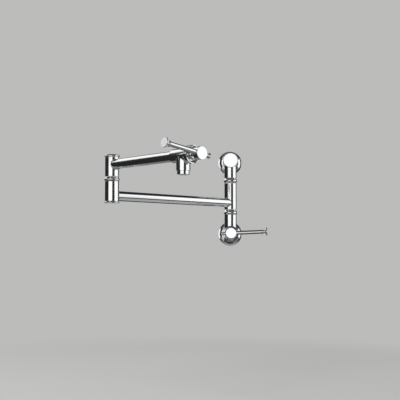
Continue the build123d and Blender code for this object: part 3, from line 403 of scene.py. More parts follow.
def white_ceramic(finish):
    """Lapped alumina, smooth with a fine grain."""
    material, tree, shader = new_material("white_ceramic")
    grain = noise(tree, 1500.0, 4.0, 0.7)
    bright = spread(tree, grain, 0, 1)
    coloured(tree, shader, bright, finish.ceramic, shade(finish.ceramic, 0.94))
    roughened(tree, shader, grain, 0.14, 0.24)
    relief(tree, shader, grain, 0.005 * MM, 0.4)
    return material


def black_acetal(finish):
    """Black acetal, matt and very slightly mottled."""
    material, tree, shader = new_material("black_acetal")
    mottle = noise(tree, 260.0, 3.0)
    bright = spread(tree, mottle, 0, 1)
    coloured(tree, shader, bright, finish.acetal, shade(finish.acetal, 0.93))
    roughened(tree, shader, mottle, 0.36, 0.48)
    relief(tree, shader, noise(tree, 900.0, 2.0), 0.03 * MM, 0.4)
    return material


FINISHES = {
    maker.__name__: maker
    for maker in (
        polished_chrome,
        bare_brass,
        stainless_steel,
        black_rubber,
        white_ceramic,
        black_acetal,
    )
}


def finished(slot):
    """The material of one of the record's slots, made when it is first wanted."""
    if slot not in bpy.data.materials:
        FINISHES[slot](bpy.context.scene.pot_filler_finish)
    return bpy.data.materials[slot]


# ---------------------------------------- turning
class Outline:
    """Half section of a turned piece, drawn from point to point in (radius, height), in millimetres.

    The material lies to the left of the way it is drawn.
    """

    def __init__(self, radius, height):
        self.bm = bmesh.new()
        self.end = self.bm.verts.new((radius, 0, height))

    def line(self, *points):
        for radius, height in points:
            corner = self.bm.verts.new((radius, 0, height))
            self.bm.edges.new((self.end, corner))
            self.end = corner
        return self

    def arc(self, radius, height, bulge):
        """Curve to a point, that far outside the straight line, or inside it where it is negative."""
        chord = Vector((radius, 0, height)) - self.end.co
        outward = chord.cross(Vector((0, 1, 0))).normalized() * -1
        bend = 4 * math.atan(2 * bulge / chord.length)
        middle = self.end.co + chord / 2 + outward * (bulge - chord.length / 2 / math.sin(bend / 2))
        steps = max(2, math.ceil(abs(math.degrees(bend)) / 9))
        spun = bmesh.ops.spin(
            self.bm, geom=[self.end], cent=middle, axis=(0, -1, 0), angle=bend, steps=steps
        )
        self.end = next(item for item in spun["geom_last"] if isinstance(item, bmesh.types.BMVert))
        self.end.co = (radius, 0, height)
        return self

    def thread(self, height, pitch, depth):
        """Thread along an upright up to a height, as rings at the thread's pitch."""
        radius, start = self.end.co.x, self.end.co.z
        turns = max(1, round(abs(height - start) / pitch))
        step = (height - start) / turns
        root = radius - depth
        for number in range(turns):
            foot = start + number * step
            self.line((root, foot + 0.45 * step), (root, foot + 0.55 * step), (radius, foot + step))
        return self

    def turn(self, facets=None, closed=False):
        """Spin the outline once round the Z axis."""
        bm = self.bm
        if closed:
            bm.verts.ensure_lookup_table()
            bm.edges.new((self.end, bm.verts[0]))
        facets = facets or bpy.context.scene.pot_filler_shape.facets
        around = bm.verts[:] + bm.edges[:]
        bmesh.ops.spin(bm, geom=around, axis=(0, 0, 1), angle=TURN, steps=facets, use_merge=True)
        bmesh.ops.remove_doubles(bm, verts=bm.verts, dist=0.0005)
        bmesh.ops.dissolve_degenerate(bm, edges=bm.edges, dist=0.0005)
        bmesh.ops.recalc_face_normals(bm, faces=bm.faces)
        return bm


def quarter(radius):
    """Bulge of a quarter round of that radius."""
    return radius * (1 - math.cos(math.pi / 4))


def broken(bm, amount=None, least=30.0):
    """Bevel the outer edges that a tool would have broken."""
    amount = amount or bpy.context.scene.pot_filler_shape.edge_break / MM
    sharp = [
        edge for edge in bm.edges if edge.is_convex and edge.calc_face_angle(0) > math.radians(least)
    ]
    bmesh.ops.bevel(
        bm,
        geom=sharp,
        offset=amount,
        affect="EDGES",
        segments=2,
        profile=0.5,
        material=-1,
        clamp_overlap=True,
    )
    return bm


def rod(radius, start, end, facets=48):
    """Round bar on the Z axis."""
    bm = bmesh.new()
    bmesh.ops.create_cone(
        bm, cap_ends=True, segments=facets, radius1=radius, radius2=radius, depth=end - start
    )
    bmesh.ops.translate(bm, verts=bm.verts, vec=(0, 0, (start + end) / 2))
    return bm


def moved(bm, place):
    bmesh.ops.transform(bm, matrix=place, verts=bm.verts)
    return bm


def extruded(bm, ring):
    """Draw a ring of open edges out, and give the new verts and the new ring."""
    grown = bmesh.ops.extrude_edge_only(bm, edges=ring)["geom"]
    verts = [item for item in grown if isinstance(item, bmesh.types.BMVert)]
    edges = [item for item in grown if isinstance(item, bmesh.types.BMEdge) and item.is_boundary]
    return verts, edges


def key_socket(bm, across, top, depth):
    """Sink a hexagonal key socket from the open ring round the axis at that height."""
    ring = [edge for edge in bm.edges if edge.is_boundary and abs(edge.verts[0].co.z - top) < 0.01]
    for vertex in {vertex for edge in ring for vertex in edge.verts}:
        angle = math.atan2(vertex.co.y, vertex.co.x)
        off_flat = (angle + math.pi / 6) % (math.pi / 3) - math.pi / 6
        flat = across / 2 / math.cos(off_flat)
        vertex.co.x, vertex.co.y = flat * math.cos(angle), flat * math.sin(angle)
    floor, rim = extruded(bm, ring)
    bmesh.ops.translate(bm, verts=floor, vec=(0, 0, -depth))
    bmesh.ops.contextual_create(bm, geom=rim)
    bmesh.ops.recalc_face_normals(bm, faces=bm.faces)
    return bm


# ---------------------------------------- from a shape to a shown piece
def as_thing(bm, name):
    mesh = bpy.data.meshes.new(name)
    bm.to_mesh(mesh)
    bm.free()
    thing = bpy.data.objects.new(name, mesh)
    bpy.context.scene.collection.objects.link(thing)
    return thing


def pierced(bm, *cutters):
    """Cut other shapes out of a shape."""
    blank = as_thing(bm, "blank")
    tools = [as_thing(cutter, "cutter") for cutter in cutters]
    for tool in tools:
        cut = blank.modifiers.new("Cut", "BOOLEAN")
        cut.operation = "DIFFERENCE"
        cut.solver = "EXACT"
        cut.object = tool
    made = blank.evaluated_get(bpy.context.evaluated_depsgraph_get())
    result = bmesh.new()
    result.from_mesh(made.to_mesh())
    made.to_mesh_clear()
    for thing in (blank, *tools):
        mesh = thing.data
        bpy.data.objects.remove(thing)
        bpy.data.meshes.remove(mesh)
    return result


def show(bm, node, place=None, sharp=32.0):
    """Make a shape the piece that stands for a node, in its finish and on its body."""
    if place is not None:
        bmesh.ops.transform(bm, matrix=Matrix.Scale(MM, 4) @ place, verts=bm.verts)
    for face in bm.faces:
        face.smooth = True
    piece = as_thing(bm, "shown_" + node)
    piece.data.set_sharp_from_angle(angle=math.radians(sharp))
    even = piece.modifiers.new("Even normals", "WEIGHTED_NORMAL")
    even.mode = "FACE_AREA_WITH_ANGLE"
    even.keep_sharp = True
    piece.data.materials.append(finished(SLOTS[node]))
    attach(piece, frame["nodes"][node]["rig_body"])
    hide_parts(node)
    return piece


def copied(node):
    """The frame's own shape of a node, with its loose triangles merged."""
    bm = bmesh.new()
    bm.from_mesh(frame["nodes"][node].data)
    bmesh.ops.remove_doubles(bm, verts=bm.verts, dist=0.002 * MM)
    return bm


# ---------------------------------------- operators
class Bodies(bpy.types.Operator):
    """Show the three cast tees, with the supply thread cut in the inlet"""

    bl_idname = "pot_filler.bodies"
    bl_label = "Tee bodies"

    def execute(self, context):
        shape = context.scene.pot_filler_shape
        inlet = copied("inlet_body")
        self.cut_supply_thread(inlet, shape.pipe_pitch, shape.pipe_depth)
        show(inlet, "inlet_body")
        for node in ("support_body", "spout_body"):
            show(copied(node), node)
        return {"FINISHED"}

    def cut_supply_thread(self, bm, pitch, depth):
        """Replace the plain bore behind the wall by rings of thread."""
        bore, end, slack = 9.3 * MM, -14.0 * MM, 0.01 * MM

        def on_bore(vertex):
            off = abs(math.hypot(vertex.co.x, vertex.co.z) - bore)
            return off < 2 * slack and vertex.co.y > end - slack

        wall = [face for face in bm.faces if all(on_bore(vertex) for vertex in face.verts)]
        if not wall:
            raise RuntimeError("the inlet body has no supply bore")
        bmesh.ops.delete(bm, geom=wall, context="FACES")
        ring = [edge for edge in bm.edges if edge.is_boundary]
        ring = [edge for edge in ring if all(abs(vertex.co.y) < slack for vertex in edge.verts)]
        turns = round(-end / pitch)
        step = end / turns
        flank, root = 0.42, 0.16
        for _ in range(turns):
            for share, radius in ((flank, bore + depth), (root, bore + depth), (flank, bore)):
                verts, ring = extruded(bm, ring)
                for vertex in verts:
                    out = radius / math.hypot(vertex.co.x, vertex.co.z)
                    vertex.co = (vertex.co.x * out, vertex.co.y + share * step, vertex.co.z * out)
        bmesh.ops.remove_doubles(bm, verts=bm.verts, dist=0.005 * MM)
        bmesh.ops.recalc_face_normals(bm, faces=bm.faces)


class WallFlanges(bpy.types.Operator):
    """Turn the two stepped wall flanges"""

    bl_idname = "pot_filler.wall_flanges"
    bl_label = "Wall flanges"

    def execute(self, context):
        shape = context.scene.pot_filler_shape
        bulge, dip = shape.rim_bulge / MM, shape.cove_dip / MM
        rim_r, rim_round, step_r, step_round, neck_r, front = 30, 0.7, 21.4, 0.8, 16.9, 16.65
        seat_r, seat, hollow_r, hollow = 27.8, 3.2, 23.6, 5.2
        bore, hole_r = BARREL_R + FIT, 1.55
        for node, place in (("inlet_flange", INLET_WALL), ("support_flange", SUPPORT_WALL)):
            outline = Outline(seat_r, 0).line((rim_r, 0), (rim_r, 3.1))
            outline.arc(rim_r - rim_round, 3.8, quarter(rim_round)).arc(25.8, 5, bulge)
            outline.arc(step_r, 8.7, -0.2).line((step_r, 13.1))
            outline.arc(step_r - step_round, 13.9, quarter(step_round)).line((18.8, 14.35))
            outline.arc(neck_r, front - 0.3, -dip).line((neck_r, front), (bore, front), (bore, hollow))
            outline.line((hollow_r, hollow), (hollow_r, seat), (seat_r, seat))
            hole = moved(rod(hole_r, 10, 24, 32), facing_down(FLANGE_GRUB))
            show(broken(pierced(outline.turn(128, closed=True), hole), 0.12, 60), node, place)
        return {"FINISHED"}


class WallFixing(bpy.types.Operator):
    """Shape the bracket behind the upper flange and the set screws"""

    bl_idname = "pot_filler.wall_fixing"
    bl_label = "Wall fixing"

    def execute(self, context):
        shape = context.scene.pot_filler_shape
        plate_r, plate, plate_edge, boss_r, boss_end, boss_edge = 26.5, 3, 0.6, 9, 27, 0.8
        hole_at, hole_r, sink_r, sink_foot = 21, 2.75, 4.1, 1.7
        outline = Outline(0, 0).line((plate_r, 0), (plate_r, plate - plate_edge))
        outline.line((plate_r - plate_edge, plate), (boss_r, plate), (boss_r, boss_end - boss_edge))
        outline.line((boss_r - boss_edge, boss_end), (0, boss_end))
        holes = []
        for side in (-1, 1):
            hole = Outline(0, -1).line((hole_r, -1), (hole_r, sink_foot), (sink_r, plate + FIT))
            hole.line((sink_r, plate + 2), (0, plate + 2))
            holes.append(moved(hole.turn(48), Matrix.Translation((side * hole_at, 0, 0))))
        show(pierced(outline.turn(), *holes), "wall_bracket", SUPPORT_WALL)

        key, pitch = shape.set_key / MM, shape.pitch / MM
        down = facing_down(FLANGE_GRUB)
        low = self.set_screw(1.5, BARREL_R + FIT, 21.1, key * 0.75, pitch * 0.5)
        self.pair(low, INLET_WALL @ down, SUPPORT_WALL @ down, "flange_set_screws")
        clamp_at = 10
        side = self.set_screw(2.5, boss_r + FIT, 15.7, key, pitch * 0.8)
        across = Matrix.Translation((0, 0, clamp_at)) @ Matrix.Rotation(math.pi / 2, 4, "Y")
        back = Matrix.Rotation(math.pi, 4, "Z") @ across
        self.pair(side, SUPPORT_WALL @ across, SUPPORT_WALL @ back, "support_set_screws")
        return {"FINISHED"}

    def set_screw(self, radius, start, end, key, pitch):
        """Headless screw with a cup point and a key socket."""
        cup, chamfer, depth = 0.4, 0.7, 0.35
        outline = Outline(0, start + cup).line((radius * 0.4, start), (radius * 0.6, start))
        outline.line((radius, start + chamfer)).thread(end - 0.3, pitch, depth)
        outline.line((radius - 0.3, end), (key * 0.6, end))
        return key_socket(outline.turn(48), key, end, (end - start) * 0.45)

    def pair(self, bm, first, second, node):
        """The same screw at two places, as one piece."""
        moved(bm, first)
        twin = bmesh.ops.duplicate(bm, geom=bm.verts[:] + bm.edges[:] + bm.faces[:])["geom"]
        verts = [item for item in twin if isinstance(item, bmesh.types.BMVert)]
        bmesh.ops.transform(bm, matrix=second @ first.inverted(), verts=verts)
        show(bm, node, Matrix.Identity(4))


class Collars(bpy.types.Operator):
    """Turn the beaded collars and the washers beside them"""

    bl_idname = "pot_filler.collars"
    bl_label = "Collars and washers"

    def execute(self, context):
        shape = context.scene.pot_filler_shape
        proud, taper = shape.bead_proud / MM, shape.taper
        shoulder, bead_share, washer_back, washer_edge = 1.4, 0.6, 0.6, 0.1
        joints = (("lower", POST), ("upper", POST), ("elbow", ELBOW))
        for joint, place in joints:
            low, high = span(joint + "_collar", 2)
            bead_foot = low + shoulder
            bead_end = bead_foot + bead_share * (high - low)
            outline = Outline(BORE_R, low).line((POST_R - shoulder * taper, low), (POST_R, bead_foot))
            outline.arc(POST_R, bead_end, proud)
            outline.line((POST_R - taper * (high - bead_end), high), (BORE_R, high))
            show(outline.turn(closed=True), joint + "_collar", place)
        rim_r = POST_R - washer_back
        for joint, place in joints:
            low, high = span(joint + "_thrust_washer", 2)
            outline = Outline(BORE_R, low).line((rim_r, low), (rim_r, high), (BORE_R, high))
            show(broken(outline.turn(closed=True), washer_edge), joint + "_thrust_washer", place)
        return {"FINISHED"}


class Caps(bpy.types.Operator):
    """Turn the cap of the upper wall body and the two caps of the elbow"""

    bl_idname = "pot_filler.caps"
    bl_label = "Caps"

    def execute(self, context):
        shape = context.scene.pot_filler_shape
        proud, taper, pitch = shape.bead_proud / MM, shape.taper, shape.pitch / MM
        front = -span("support_cap", 1)[0]
        seat = front - 3
        foot = seat - 6.5
        spigot_r, chamfer, rim_r, rim_round, crown = 11, 0.4, 18.25, 1.4, 0.4
        outline = Outline(0, foot).line((spigot_r - chamfer, foot), (spigot_r, foot + chamfer))
        outline.line((spigot_r, seat), (rim_r, seat), (rim_r, front - crown - rim_round))
        outline.arc(rim_r - rim_round, front - crown, quarter(rim_round)).arc(0, front, 0.1)
        show(broken(outline.turn(128)), "support_cap", SUPPORT_WALL)

        # Both elbow caps have a neck with a bead and end in a low crown, a little back from the neck.
        neck, crown_back, crown, crown_bulge = POST_R - 0.3, 0.3, 0.6, 0.15
        top = span("elbow_top_cap", 2)[1]
        seat = top - 6.8
        spigot_in, spigot_out, spigot = 12, 13, 2
        outline = Outline(0, seat).line((spigot_in, seat), (spigot_in, seat - spigot))
        outline.line((spigot_out, seat - spigot), (spigot_out, seat), (neck, seat), (neck, seat + 0.9))
        outline.arc(neck, seat + 5.3, proud + 0.3).line((neck - crown_back, top - crown))
        show(outline.arc(0, top, crown_bulge).turn(), "elbow_top_cap", OUTER)

        foot = span("elbow_base_cap", 2)[0]
        seat = span("elbow_lower_barrel", 2)[0]
        shoulder, thread, chamfer = 1.8, 4, 0.4
        outline = Outline(0, foot).arc(neck - crown_back, foot + crown, crown_bulge)
        outline.line((neck, foot + crown)).arc(neck, seat - shoulder, proud)
        outline.line((neck - shoulder * taper, seat), (SWIVEL_R, seat), (SWIVEL_R, seat + chamfer))
        outline.thread(seat + thread - chamfer, pitch, 0.5)
        outline.line((SWIVEL_R - chamfer, seat + thread), (0, seat + thread))
        show(outline.turn(), "elbow_base_cap", ELBOW)
        return {"FINISHED"}


class Barrels(bpy.types.Operator):
    """Turn the swinging barrels and bore the ports that the arms cover"""

    bl_idname = "pot_filler.barrels"
    bl_label = "Barrels"

    def execute(self, context):
        edge, seat_r, nut_r = 0.3, 13.05, 12.1
        for node, place, port_z, side in (
            ("post_barrel", INNER, INNER_ARM_Z, 1),
            ("elbow_lower_barrel", ELBOW, INNER_ARM_Z, -1),
            ("elbow_upper_barrel", OUTER, OUTER_ARM_Z, 1),
        ):
            low, high = span(node, 2)
            outline = Outline(BORE_R, low).line((POST_R - edge, low))
            outline.arc(POST_R, low + edge, quarter(edge))
            outline.line((POST_R, high - edge)).arc(POST_R - edge, high, quarter(edge))
            if node == "elbow_upper_barrel":
                ledge, floor = high - 2.05, high - 5.3
                outline.line((seat_r, high), (seat_r, ledge), (nut_r, ledge), (nut_r, floor))
                outline.line((BORE_R, floor))
            else:
                outline.line((BORE_R, high))
            port = moved(rod(PORT_R, 5, POST_R + 1), Matrix.Rotation(side * math.pi / 2, 4, "Y"))
            moved(port, Matrix.Translation((0, 0, port_z)))
            show(pierced(outline.turn(closed=True), port), node, place)
        return {"FINISHED"}


class ArmTubes(bpy.types.Operator):
    """Draw the two arm tubes, coped and brazed to their barrels"""

    bl_idname = "pot_filler.arm_tubes"
    bl_label = "Arm tubes"

    def execute(self, context):
        braze = context.scene.pot_filler_shape.braze / MM
        inner = self.tube(INNER_ARM_Z, INNER_REACH, True, braze)
        show(inner, "inner_arm_tube", INNER)
        outer = self.tube(OUTER_ARM_Z, OUTER_REACH - SOCKET_FLOOR, False, braze)
        show(outer, "outer_arm_tube", OUTER)
        return {"FINISHED"}

    def tube(self, height, end, far_coped, braze):
        """Tube along X. Each ring is (radius, set back from the near end, set back from the far end)."""
        cope, chamfer = POST_R + FIT, 0.4
        hollow, inside = braze * 0.35, ARM_R - ARM_WALL
        rings = [(ARM_R + braze, 0, None), (ARM_R + hollow, hollow, None), (ARM_R, braze, None)]
        if far_coped:
            rings += [(ARM_R, None, braze), (ARM_R + hollow, None, hollow), (ARM_R + braze, None, 0)]
        else:
            rings += [(ARM_R, None, chamfer), (ARM_R - chamfer, None, 0)]
        rings += [(inside, None, 0), (inside, 0, None)]
        bm = bmesh.new()
        first = bmesh.ops.create_circle(bm, segments=96, radius=1.0)["verts"]
        bmesh.ops.rotate(bm, verts=first, matrix=Matrix.Rotation(math.pi / 2, 3, "Y"))
        edges = start = bm.edges[:]
        for number, (radius, near, far) in enumerate(rings):
            if number:
                edges = extruded(bm, edges)[1]
            for vertex in {vertex for edge in edges for vertex in edge.verts}:
                out = radius / math.hypot(vertex.co.y, vertex.co.z)
                vertex.co.y *= out
                vertex.co.z *= out
                saddle = math.sqrt(cope**2 - vertex.co.y**2)
                if near is not None:
                    vertex.co.x = saddle + near
                else:
                    vertex.co.x = end - far - (saddle if far_coped else 0)
        bmesh.ops.bridge_loops(bm, edges=edges + start)
        bmesh.ops.recalc_face_normals(bm, faces=bm.faces)
        bmesh.ops.translate(bm, verts=bm.verts, vec=(0, 0, height))
        return bm


class Bonnets(bpy.types.Operator):
    """Turn the dished ring in front of each valve"""

    bl_idname = "pot_filler.bonnets"
    bl_label = "Bonnet rings"

    def execute(self, context):
        shape = context.scene.pot_filler_shape
        lip, pitch = shape.dish_lip / MM, shape.pitch / MM
        outer, foot, top, crest = 18.0, 2.4, 9.7, 0.15
        lip_foot, lip_edge, lip_back = top - 0.6, top - 0.35, 0.2
        floor, floor_r, inside, eye = 6.0, 9.4, 12.05, 6.6
        ceiling, thread_end, thread_start = floor - 1.2, 3.2, 0.4
        for valve, place in VALVES.items():
            across, drop = outer - lip - floor_r, top - crest - floor
            sag = math.hypot(across, drop) / 2 * math.tan(math.atan2(drop, across) / 2)
            outline = Outline(inside, 0).line((outer - foot, 0)).arc(outer, foot, quarter(foot))
            outline.line((outer, lip_foot), (outer - lip_back, lip_edge), (outer - lip + crest, top))
            outline.arc(outer - lip, top - crest, quarter(crest)).arc(floor_r, floor, -sag)
            outline.line((eye, floor), (eye, ceiling), (inside, ceiling), (inside, thread_end))
            outline.thread(thread_start, pitch, -0.4)
            show(outline.turn(128, closed=True), valve + "_bonnet_ring", place)
        return {"FINISHED"}


class Handles(bpy.types.Operator):
    """Turn the cap, screw, lever and tail of each handle round the drum"""

    bl_idname = "pot_filler.handles"
    bl_label = "Handles"

    def execute(self, context):
        shape = context.scene.pot_filler_shape
        bulge = shape.button_bulge / MM
        for valve, place in HANDLES.items():
            show(copied(valve + "_handle_hub"), valve + "_handle_hub")
            show(self.cap(), valve + "_handle_cap", place)
            show(self.screw(shape.handle_key / MM, shape.pitch / MM), valve + "_handle_screw", place)
            show(self.lever(bulge), valve + "_lever", place @ LEVER_LINE)
            show(self.tail(bulge), valve + "_lever_tail", place @ TAIL_LINE)
        return {"FINISHED"}

    def cap(self):
        """Cap with a spigot ring that closes the drum."""
        thick, edge, spigot_in, spigot_out = 1.4, 0.9, 4.8, 6
        foot, top = HUB_FACE - CAP_SPIGOT, HUB_FACE + thick
        outline = Outline(0, HUB_FACE).line((spigot_in, HUB_FACE), (spigot_in, foot), (spigot_out, foot))
        outline.line((spigot_out, HUB_FACE), (HUB_R, HUB_FACE), (HUB_R, top - edge))
        return outline.arc(HUB_R - edge, top, quarter(edge)).line((0, top)).turn()

    def screw(self, key, pitch):
        """Socket cap screw that holds the drum on its spindle."""
        radius, chamfer, head_r, head_edge, head = 2, 0.4, 3.5, 0.3, 2.2
        top = HUB_FACE - CAP_SPIGOT - 0.2
        seat = top - head
        end = seat - 10
        outline = Outline(0, end).line((radius - chamfer, end), (radius, end + chamfer))
        outline.thread(seat - 1.6, pitch * 0.7, 0.35).line((radius, seat), (head_r, seat))
        outline.line((head_r, top - head_edge)).arc(head_r - head_edge, top, quarter(head_edge))
        return key_socket(outline.line((key * 0.62, top)).turn(48), key, top, 1.4)

    def root(self, seat_r):
        """Threaded root that screws into the drum."""
        pitch = bpy.context.scene.pot_filler_shape.pitch / MM
        radius, chamfer, end = 3, 0.4, LEVER_SEAT - 4.4
        outline = Outline(0, end).line((radius - chamfer, end), (radius, end + chamfer))
        return outline.thread(LEVER_SEAT, pitch, 0.5).line((seat_r, LEVER_SEAT))

    def button(self, outline, neck_r, radius, flare, thick, bulge):
        """Flare out to a button with a swollen edge and a crowned end."""
        crown, crown_bulge = 0.5, 0.12
        edge = outline.end.co.z + flare
        hollow = math.hypot(radius - neck_r, flare) / 2 * math.tan(math.radians(22.5))
        outline.arc(radius, edge, -hollow).arc(radius, edge + thick, bulge)
        return outline.arc(0, edge + thick + crown, crown_bulge).turn(96)

    def lever(self, bulge):
        """Long side: a tapered rod, a bead, a neck and the large button."""
        rod_end, rod_r, neck_r = LEVER_SEAT + 62.2, 4.5, 3.6
        bead_end = rod_end + 3.2
        outline = self.root(LEVER_R).line((rod_r, rod_end)).arc(rod_r, bead_end, 1.5)
        outline.line((neck_r, bead_end), (neck_r, rod_end + 5.8))
        return self.button(outline, neck_r, 9.25, 4.5, 2.5, bulge)

    def tail(self, bulge):
        """Short side: a neck and the small button."""
        neck_r = 3.6
        outline = self.root(neck_r).line((neck_r, LEVER_SEAT + 5))
        return self.button(outline, neck_r, 5.3, 4.6, 1.8, bulge)


class Outlet(bpy.types.Operator):
    """Turn the aerator's shell and seat its honeycomb and gasket"""

    bl_idname = "pot_filler.outlet"
    bl_label = "Outlet"

    def execute(self, context):
        pitch = context.scene.pot_filler_shape.pitch / MM
        end, low = SPOUT_END, span("aerator_housing", 2)[0]
        top, lip = end + AERATOR_THREAD, low + 1
        shell_r, edge, groove_r, groove, thread_r, chamfer = 12, 1.6, 11.3, 0.8, 11, 0.4
        mouth_r, bore_r = 8.6, 9.6
        outline = Outline(mouth_r, low).line((shell_r - edge, low)).arc(shell_r, low + edge, quarter(edge))
        outline.line((shell_r, end - groove), (groove_r, end - groove), (groove_r, end), (thread_r, end))
        outline.line((thread_r, end + 0.6)).thread(top - chamfer, pitch, 0.45)
        outline.line((thread_r - chamfer, top), (bore_r, top), (bore_r, lip), (mouth_r, lip))
        show(broken(outline.turn(closed=True), 0.15, 60), "aerator_housing", SPOUT)
        for node in ("aerator_honeycomb", "aerator_gasket"):
            show(copied(node), node)
        return {"FINISHED"}


class HiddenParts(bpy.types.Operator):
    """Finish the swivels, the headworks and their seals"""

    bl_idname = "pot_filler.hidden_parts"
    bl_label = "Swivels and headworks"

    def execute(self, context):
        shown = {piece.name for piece in bpy.data.objects if piece.name.startswith("shown_")}
        for node in frame["nodes"]:
            if "shown_" + node not in shown:
                show(copied(node), node)
        return {"FINISHED"}


# ---------------------------------------- studio
# What the plate mirrors. Each panel has, in degrees, its first and last bearing to the right of the
# camera, its lowest and highest place above the horizon, how softly it ends, and then how bright it is.
PANELS = {
    "wide panel left of the camera": (-51, 9, -15, 20, 2.0, 1.15),
    "narrow panel right of the camera": (50, 89, -20, 27, 2.5, 1.15),
    "tall panel on the right": (90, 116, -11, 35, 4.0, 1.15),
    "panel high on the left": (-110, -84, 38, 50, 3.0, 1.1),
    "panel at the back left": (-153, -109, 13, 50, 3.0, 1.1),
    "lit ground on the right": (97, 153, -60, -25, 4.0, 0.37),
    "lit ground in front": (-60, 94, -65, -26, 4.0, 0.15),
    "pool on the ground in front": (-34, 40, -52, -32, 4.0, 0.14),
    "lit ground on the left": (-94, -60, -46, -24, 4.0, 0.5),
    "lit ground at the back left": (-170, -130, -55, -22, 4.0, 0.17),
    "ceiling in front": (-90, 90, 36, 75, 6.0, 0.12),
}
ROOM = 0.02
# Behind the object the plate mirrors the pale backdrop, past this bearing and between these heights.
REAR, REAR_SOFT = 160, 2
REAR_LOW, REAR_TOP, LEVEL_SOFT = -25, 24, 3
# Middle of the object, in metres, which the key light points at and the floor lies lit round.
MIDDLE = Vector((-0.1, -0.3, 0.05))


def mirrored_studio(tree):
    """Brightness of the room in the direction of a mirrored ray, and how far the backdrop covers it."""
    place = tree.nodes.new("ShaderNodeTexCoord")
    split = tree.nodes.new("ShaderNodeSeparateXYZ")
    tree.links.new(place.outputs["Generated"], split.inputs["Vector"])
    ahead = maths(tree, "MULTIPLY", split.outputs["Y"], -1.0)
    bearing = maths(tree, "DEGREES", maths(tree, "ARCTAN2", split.outputs["X"], ahead))
    height = maths(tree, "DEGREES", maths(tree, "ARCSINE", split.outputs["Z"]))
    light = ROOM
    for left, right, low, high, soft, bright in PANELS.values():
        across = within(tree, bearing, left, right, soft)
        panel = maths(tree, "MULTIPLY", across, within(tree, height, low, high, soft))
        light = maths(tree, "ADD", maths(tree, "MULTIPLY", panel, bright), light)
    past = rising(tree, maths(tree, "ABSOLUTE", bearing), REAR - REAR_SOFT, REAR + REAR_SOFT)
    level = within(tree, height, REAR_LOW, REAR_TOP, LEVEL_SOFT)
    return light, maths(tree, "MULTIPLY", past, level)


def background(tree, colours, strength):
    """Light from all round, as strong as a number or as another node's result."""
    node = tree.nodes.new("ShaderNodeBackground")
    node.inputs["Color"].default_value = (*colours, 1)
    if isinstance(strength, (int, float)):
        node.inputs["Strength"].default_value = strength
    else:
        tree.links.new(strength, node.inputs["Strength"])
    return node.outputs["Background"]


def studio_world(stage):
    """Pale backdrop for the camera and behind the object, panels in a dim room for what shines."""
    world = bpy.data.worlds.new("studio")
    bpy.context.scene.world = world
    world.use_nodes = True
    tree = world.node_tree
    tree.nodes.clear()
    light, behind = mirrored_studio(tree)
    pale = background(tree, stage.backdrop, 1.0)
    ray = tree.nodes.new("ShaderNodeLightPath")
    room = mixed(tree, behind, background(tree, (1, 1, 1), light), pale)
    seen = mixed(tree, ray.outputs["Is Diffuse Ray"], pale, background(tree, (1, 1, 1), stage.fill))
    output = tree.nodes.new("ShaderNodeOutputWorld")
    tree.links.new(mixed(tree, ray.outputs["Is Glossy Ray"], seen, room), output.inputs["Surface"])


def floor_paint(stage):
    """Painted floor that fades into the backdrop away from the object."""
    material, tree, shader = new_material("floor_paint")
    shader.inputs["Roughness"].default_value = 0.85
    shader.inputs["Specular IOR Level"].default_value = 0.2
    speckle = noise(tree, 3.0, 2.0)
    coloured(tree, shader, speckle, stage.backdrop, shade(stage.backdrop, 0.985))
    place = tree.nodes.new("ShaderNodeTexCoord")
    away = tree.nodes.new("ShaderNodeVectorMath")
    away.operation = "DISTANCE"
    away.inputs[1].default_value = (MIDDLE.x, MIDDLE.y, stage.floor_level)
    tree.links.new(place.outputs["Object"], away.inputs[0])
    far = rising(tree, away.outputs["Value"], stage.pool_start, stage.pool_end)
    pale = tree.nodes.new("ShaderNodeEmission")
    pale.inputs["Color"].default_value = (*stage.backdrop, 1)
    clear = tree.nodes.new("ShaderNodeBsdfTransparent")
    ray = tree.nodes.new("ShaderNodeLightPath")
    beyond = mixed(tree, ray.outputs["Is Glossy Ray"], pale.outputs["Emission"], clear.outputs["BSDF"])
    output = next(node for node in tree.nodes if node.type == "OUTPUT_MATERIAL")
    tree.links.new(mixed(tree, far, shader.outputs["BSDF"], beyond), output.inputs["Surface"])
    return material


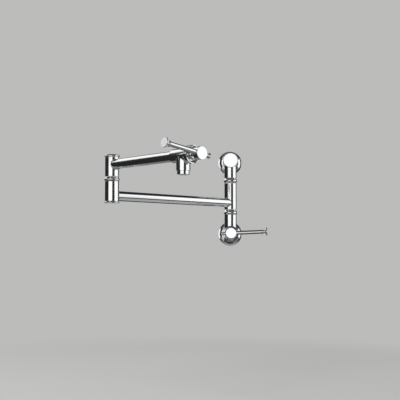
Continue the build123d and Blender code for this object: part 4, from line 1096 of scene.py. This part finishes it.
class Stage(bpy.types.Operator):
    """Set up the floor, the light and the camera"""

    bl_idname = "pot_filler.stage"
    bl_label = "Stage"

    def execute(self, context):
        stage = context.scene.pot_filler_stage
        bm = bmesh.new()
        bmesh.ops.create_grid(bm, x_segments=1, y_segments=1, size=14)
        bmesh.ops.translate(bm, verts=bm.verts, vec=(0, 0, stage.floor_level))
        floor = as_thing(bm, "floor")
        floor.data.materials.append(floor_paint(stage))
        floor.visible_glossy = False
        studio_world(stage)
        self.key_light(stage)
        self.card()

        camera = bpy.data.objects.new("camera", bpy.data.cameras.new("camera"))
        camera.data.lens = stage.camera_lens
        camera.data.sensor_width = 36.0
        camera.data.clip_end = 60.0
        camera.location = stage.camera_place
        camera.rotation_euler = (math.pi / 2 + stage.camera_lift, 0, stage.camera_turn)
        context.scene.collection.objects.link(camera)
        context.scene.camera = camera
        context.scene.view_settings.view_transform = "Standard"
        return {"FINISHED"}

    def key_light(self, stage):
        lamp = bpy.data.lights.new("key", "AREA")
        lamp.shape = "RECTANGLE"
        lamp.size = 1.6
        lamp.size_y = 1.2
        lamp.energy = stage.key_power
        key = bpy.data.objects.new("key", lamp)
        key.location = (-1.2, -1.6, 1.9)
        key.rotation_euler = (MIDDLE - key.location).to_track_quat("-Z", "Y").to_euler()
        key.visible_glossy = False
        bpy.context.scene.collection.objects.link(key)

    def card(self):
        """Small white card that the button of the spout's lever mirrors."""
        bm = bmesh.new()
        bmesh.ops.create_grid(bm, x_segments=1, y_segments=1, size=0.06)
        centre, button = Vector((-0.368, -0.568, 0.227)), Vector((-0.133, -0.614, 0.154))
        turn = (button - centre).to_track_quat("Z", "Y").to_matrix().to_4x4()
        moved(bm, Matrix.Translation(centre) @ turn)
        card = as_thing(bm, "card")
        material, _, shader = new_material("card_light")
        shader.inputs["Base Color"].default_value = (0, 0, 0, 1)
        shader.inputs["Emission Color"].default_value = (1, 1, 1, 1)
        shader.inputs["Emission Strength"].default_value = 0.75
        card.data.materials.append(material)
        card.visible_camera = False
        card.visible_diffuse = False
        card.visible_shadow = False


class PotFillerPanel(bpy.types.Panel):
    """Lists the pieces and the stage"""

    bl_idname = "VIEW3D_PT_pot_filler"
    bl_label = "Pot filler"
    bl_space_type = "VIEW_3D"
    bl_region_type = "UI"
    bl_category = "Pot filler"

    def draw(self, context):
        for operator in OPERATORS:
            self.layout.operator(operator.bl_idname)


OPERATORS = (
    Bodies,
    WallFlanges,
    WallFixing,
    Collars,
    Caps,
    Barrels,
    ArmTubes,
    Bonnets,
    Handles,
    Outlet,
    HiddenParts,
    Stage,
)
GROUPS = {
    "pot_filler_shape": PotFillerShape,
    "pot_filler_finish": PotFillerFinish,
    "pot_filler_stage": PotFillerStage,
}
CLASSES = (*GROUPS.values(), *OPERATORS, PotFillerPanel)


def register():
    for item in CLASSES:
        bpy.utils.register_class(item)
    for name, group in GROUPS.items():
        setattr(bpy.types.Scene, name, bpy.props.PointerProperty(type=group))


def unregister():
    for name in GROUPS:
        delattr(bpy.types.Scene, name)
    for item in reversed(CLASSES):
        bpy.utils.unregister_class(item)


def main():
    register()
    for operator in OPERATORS:
        getattr(bpy.ops.pot_filler, operator.bl_idname.split(".")[1])()


if __name__ == "__main__":
    main()
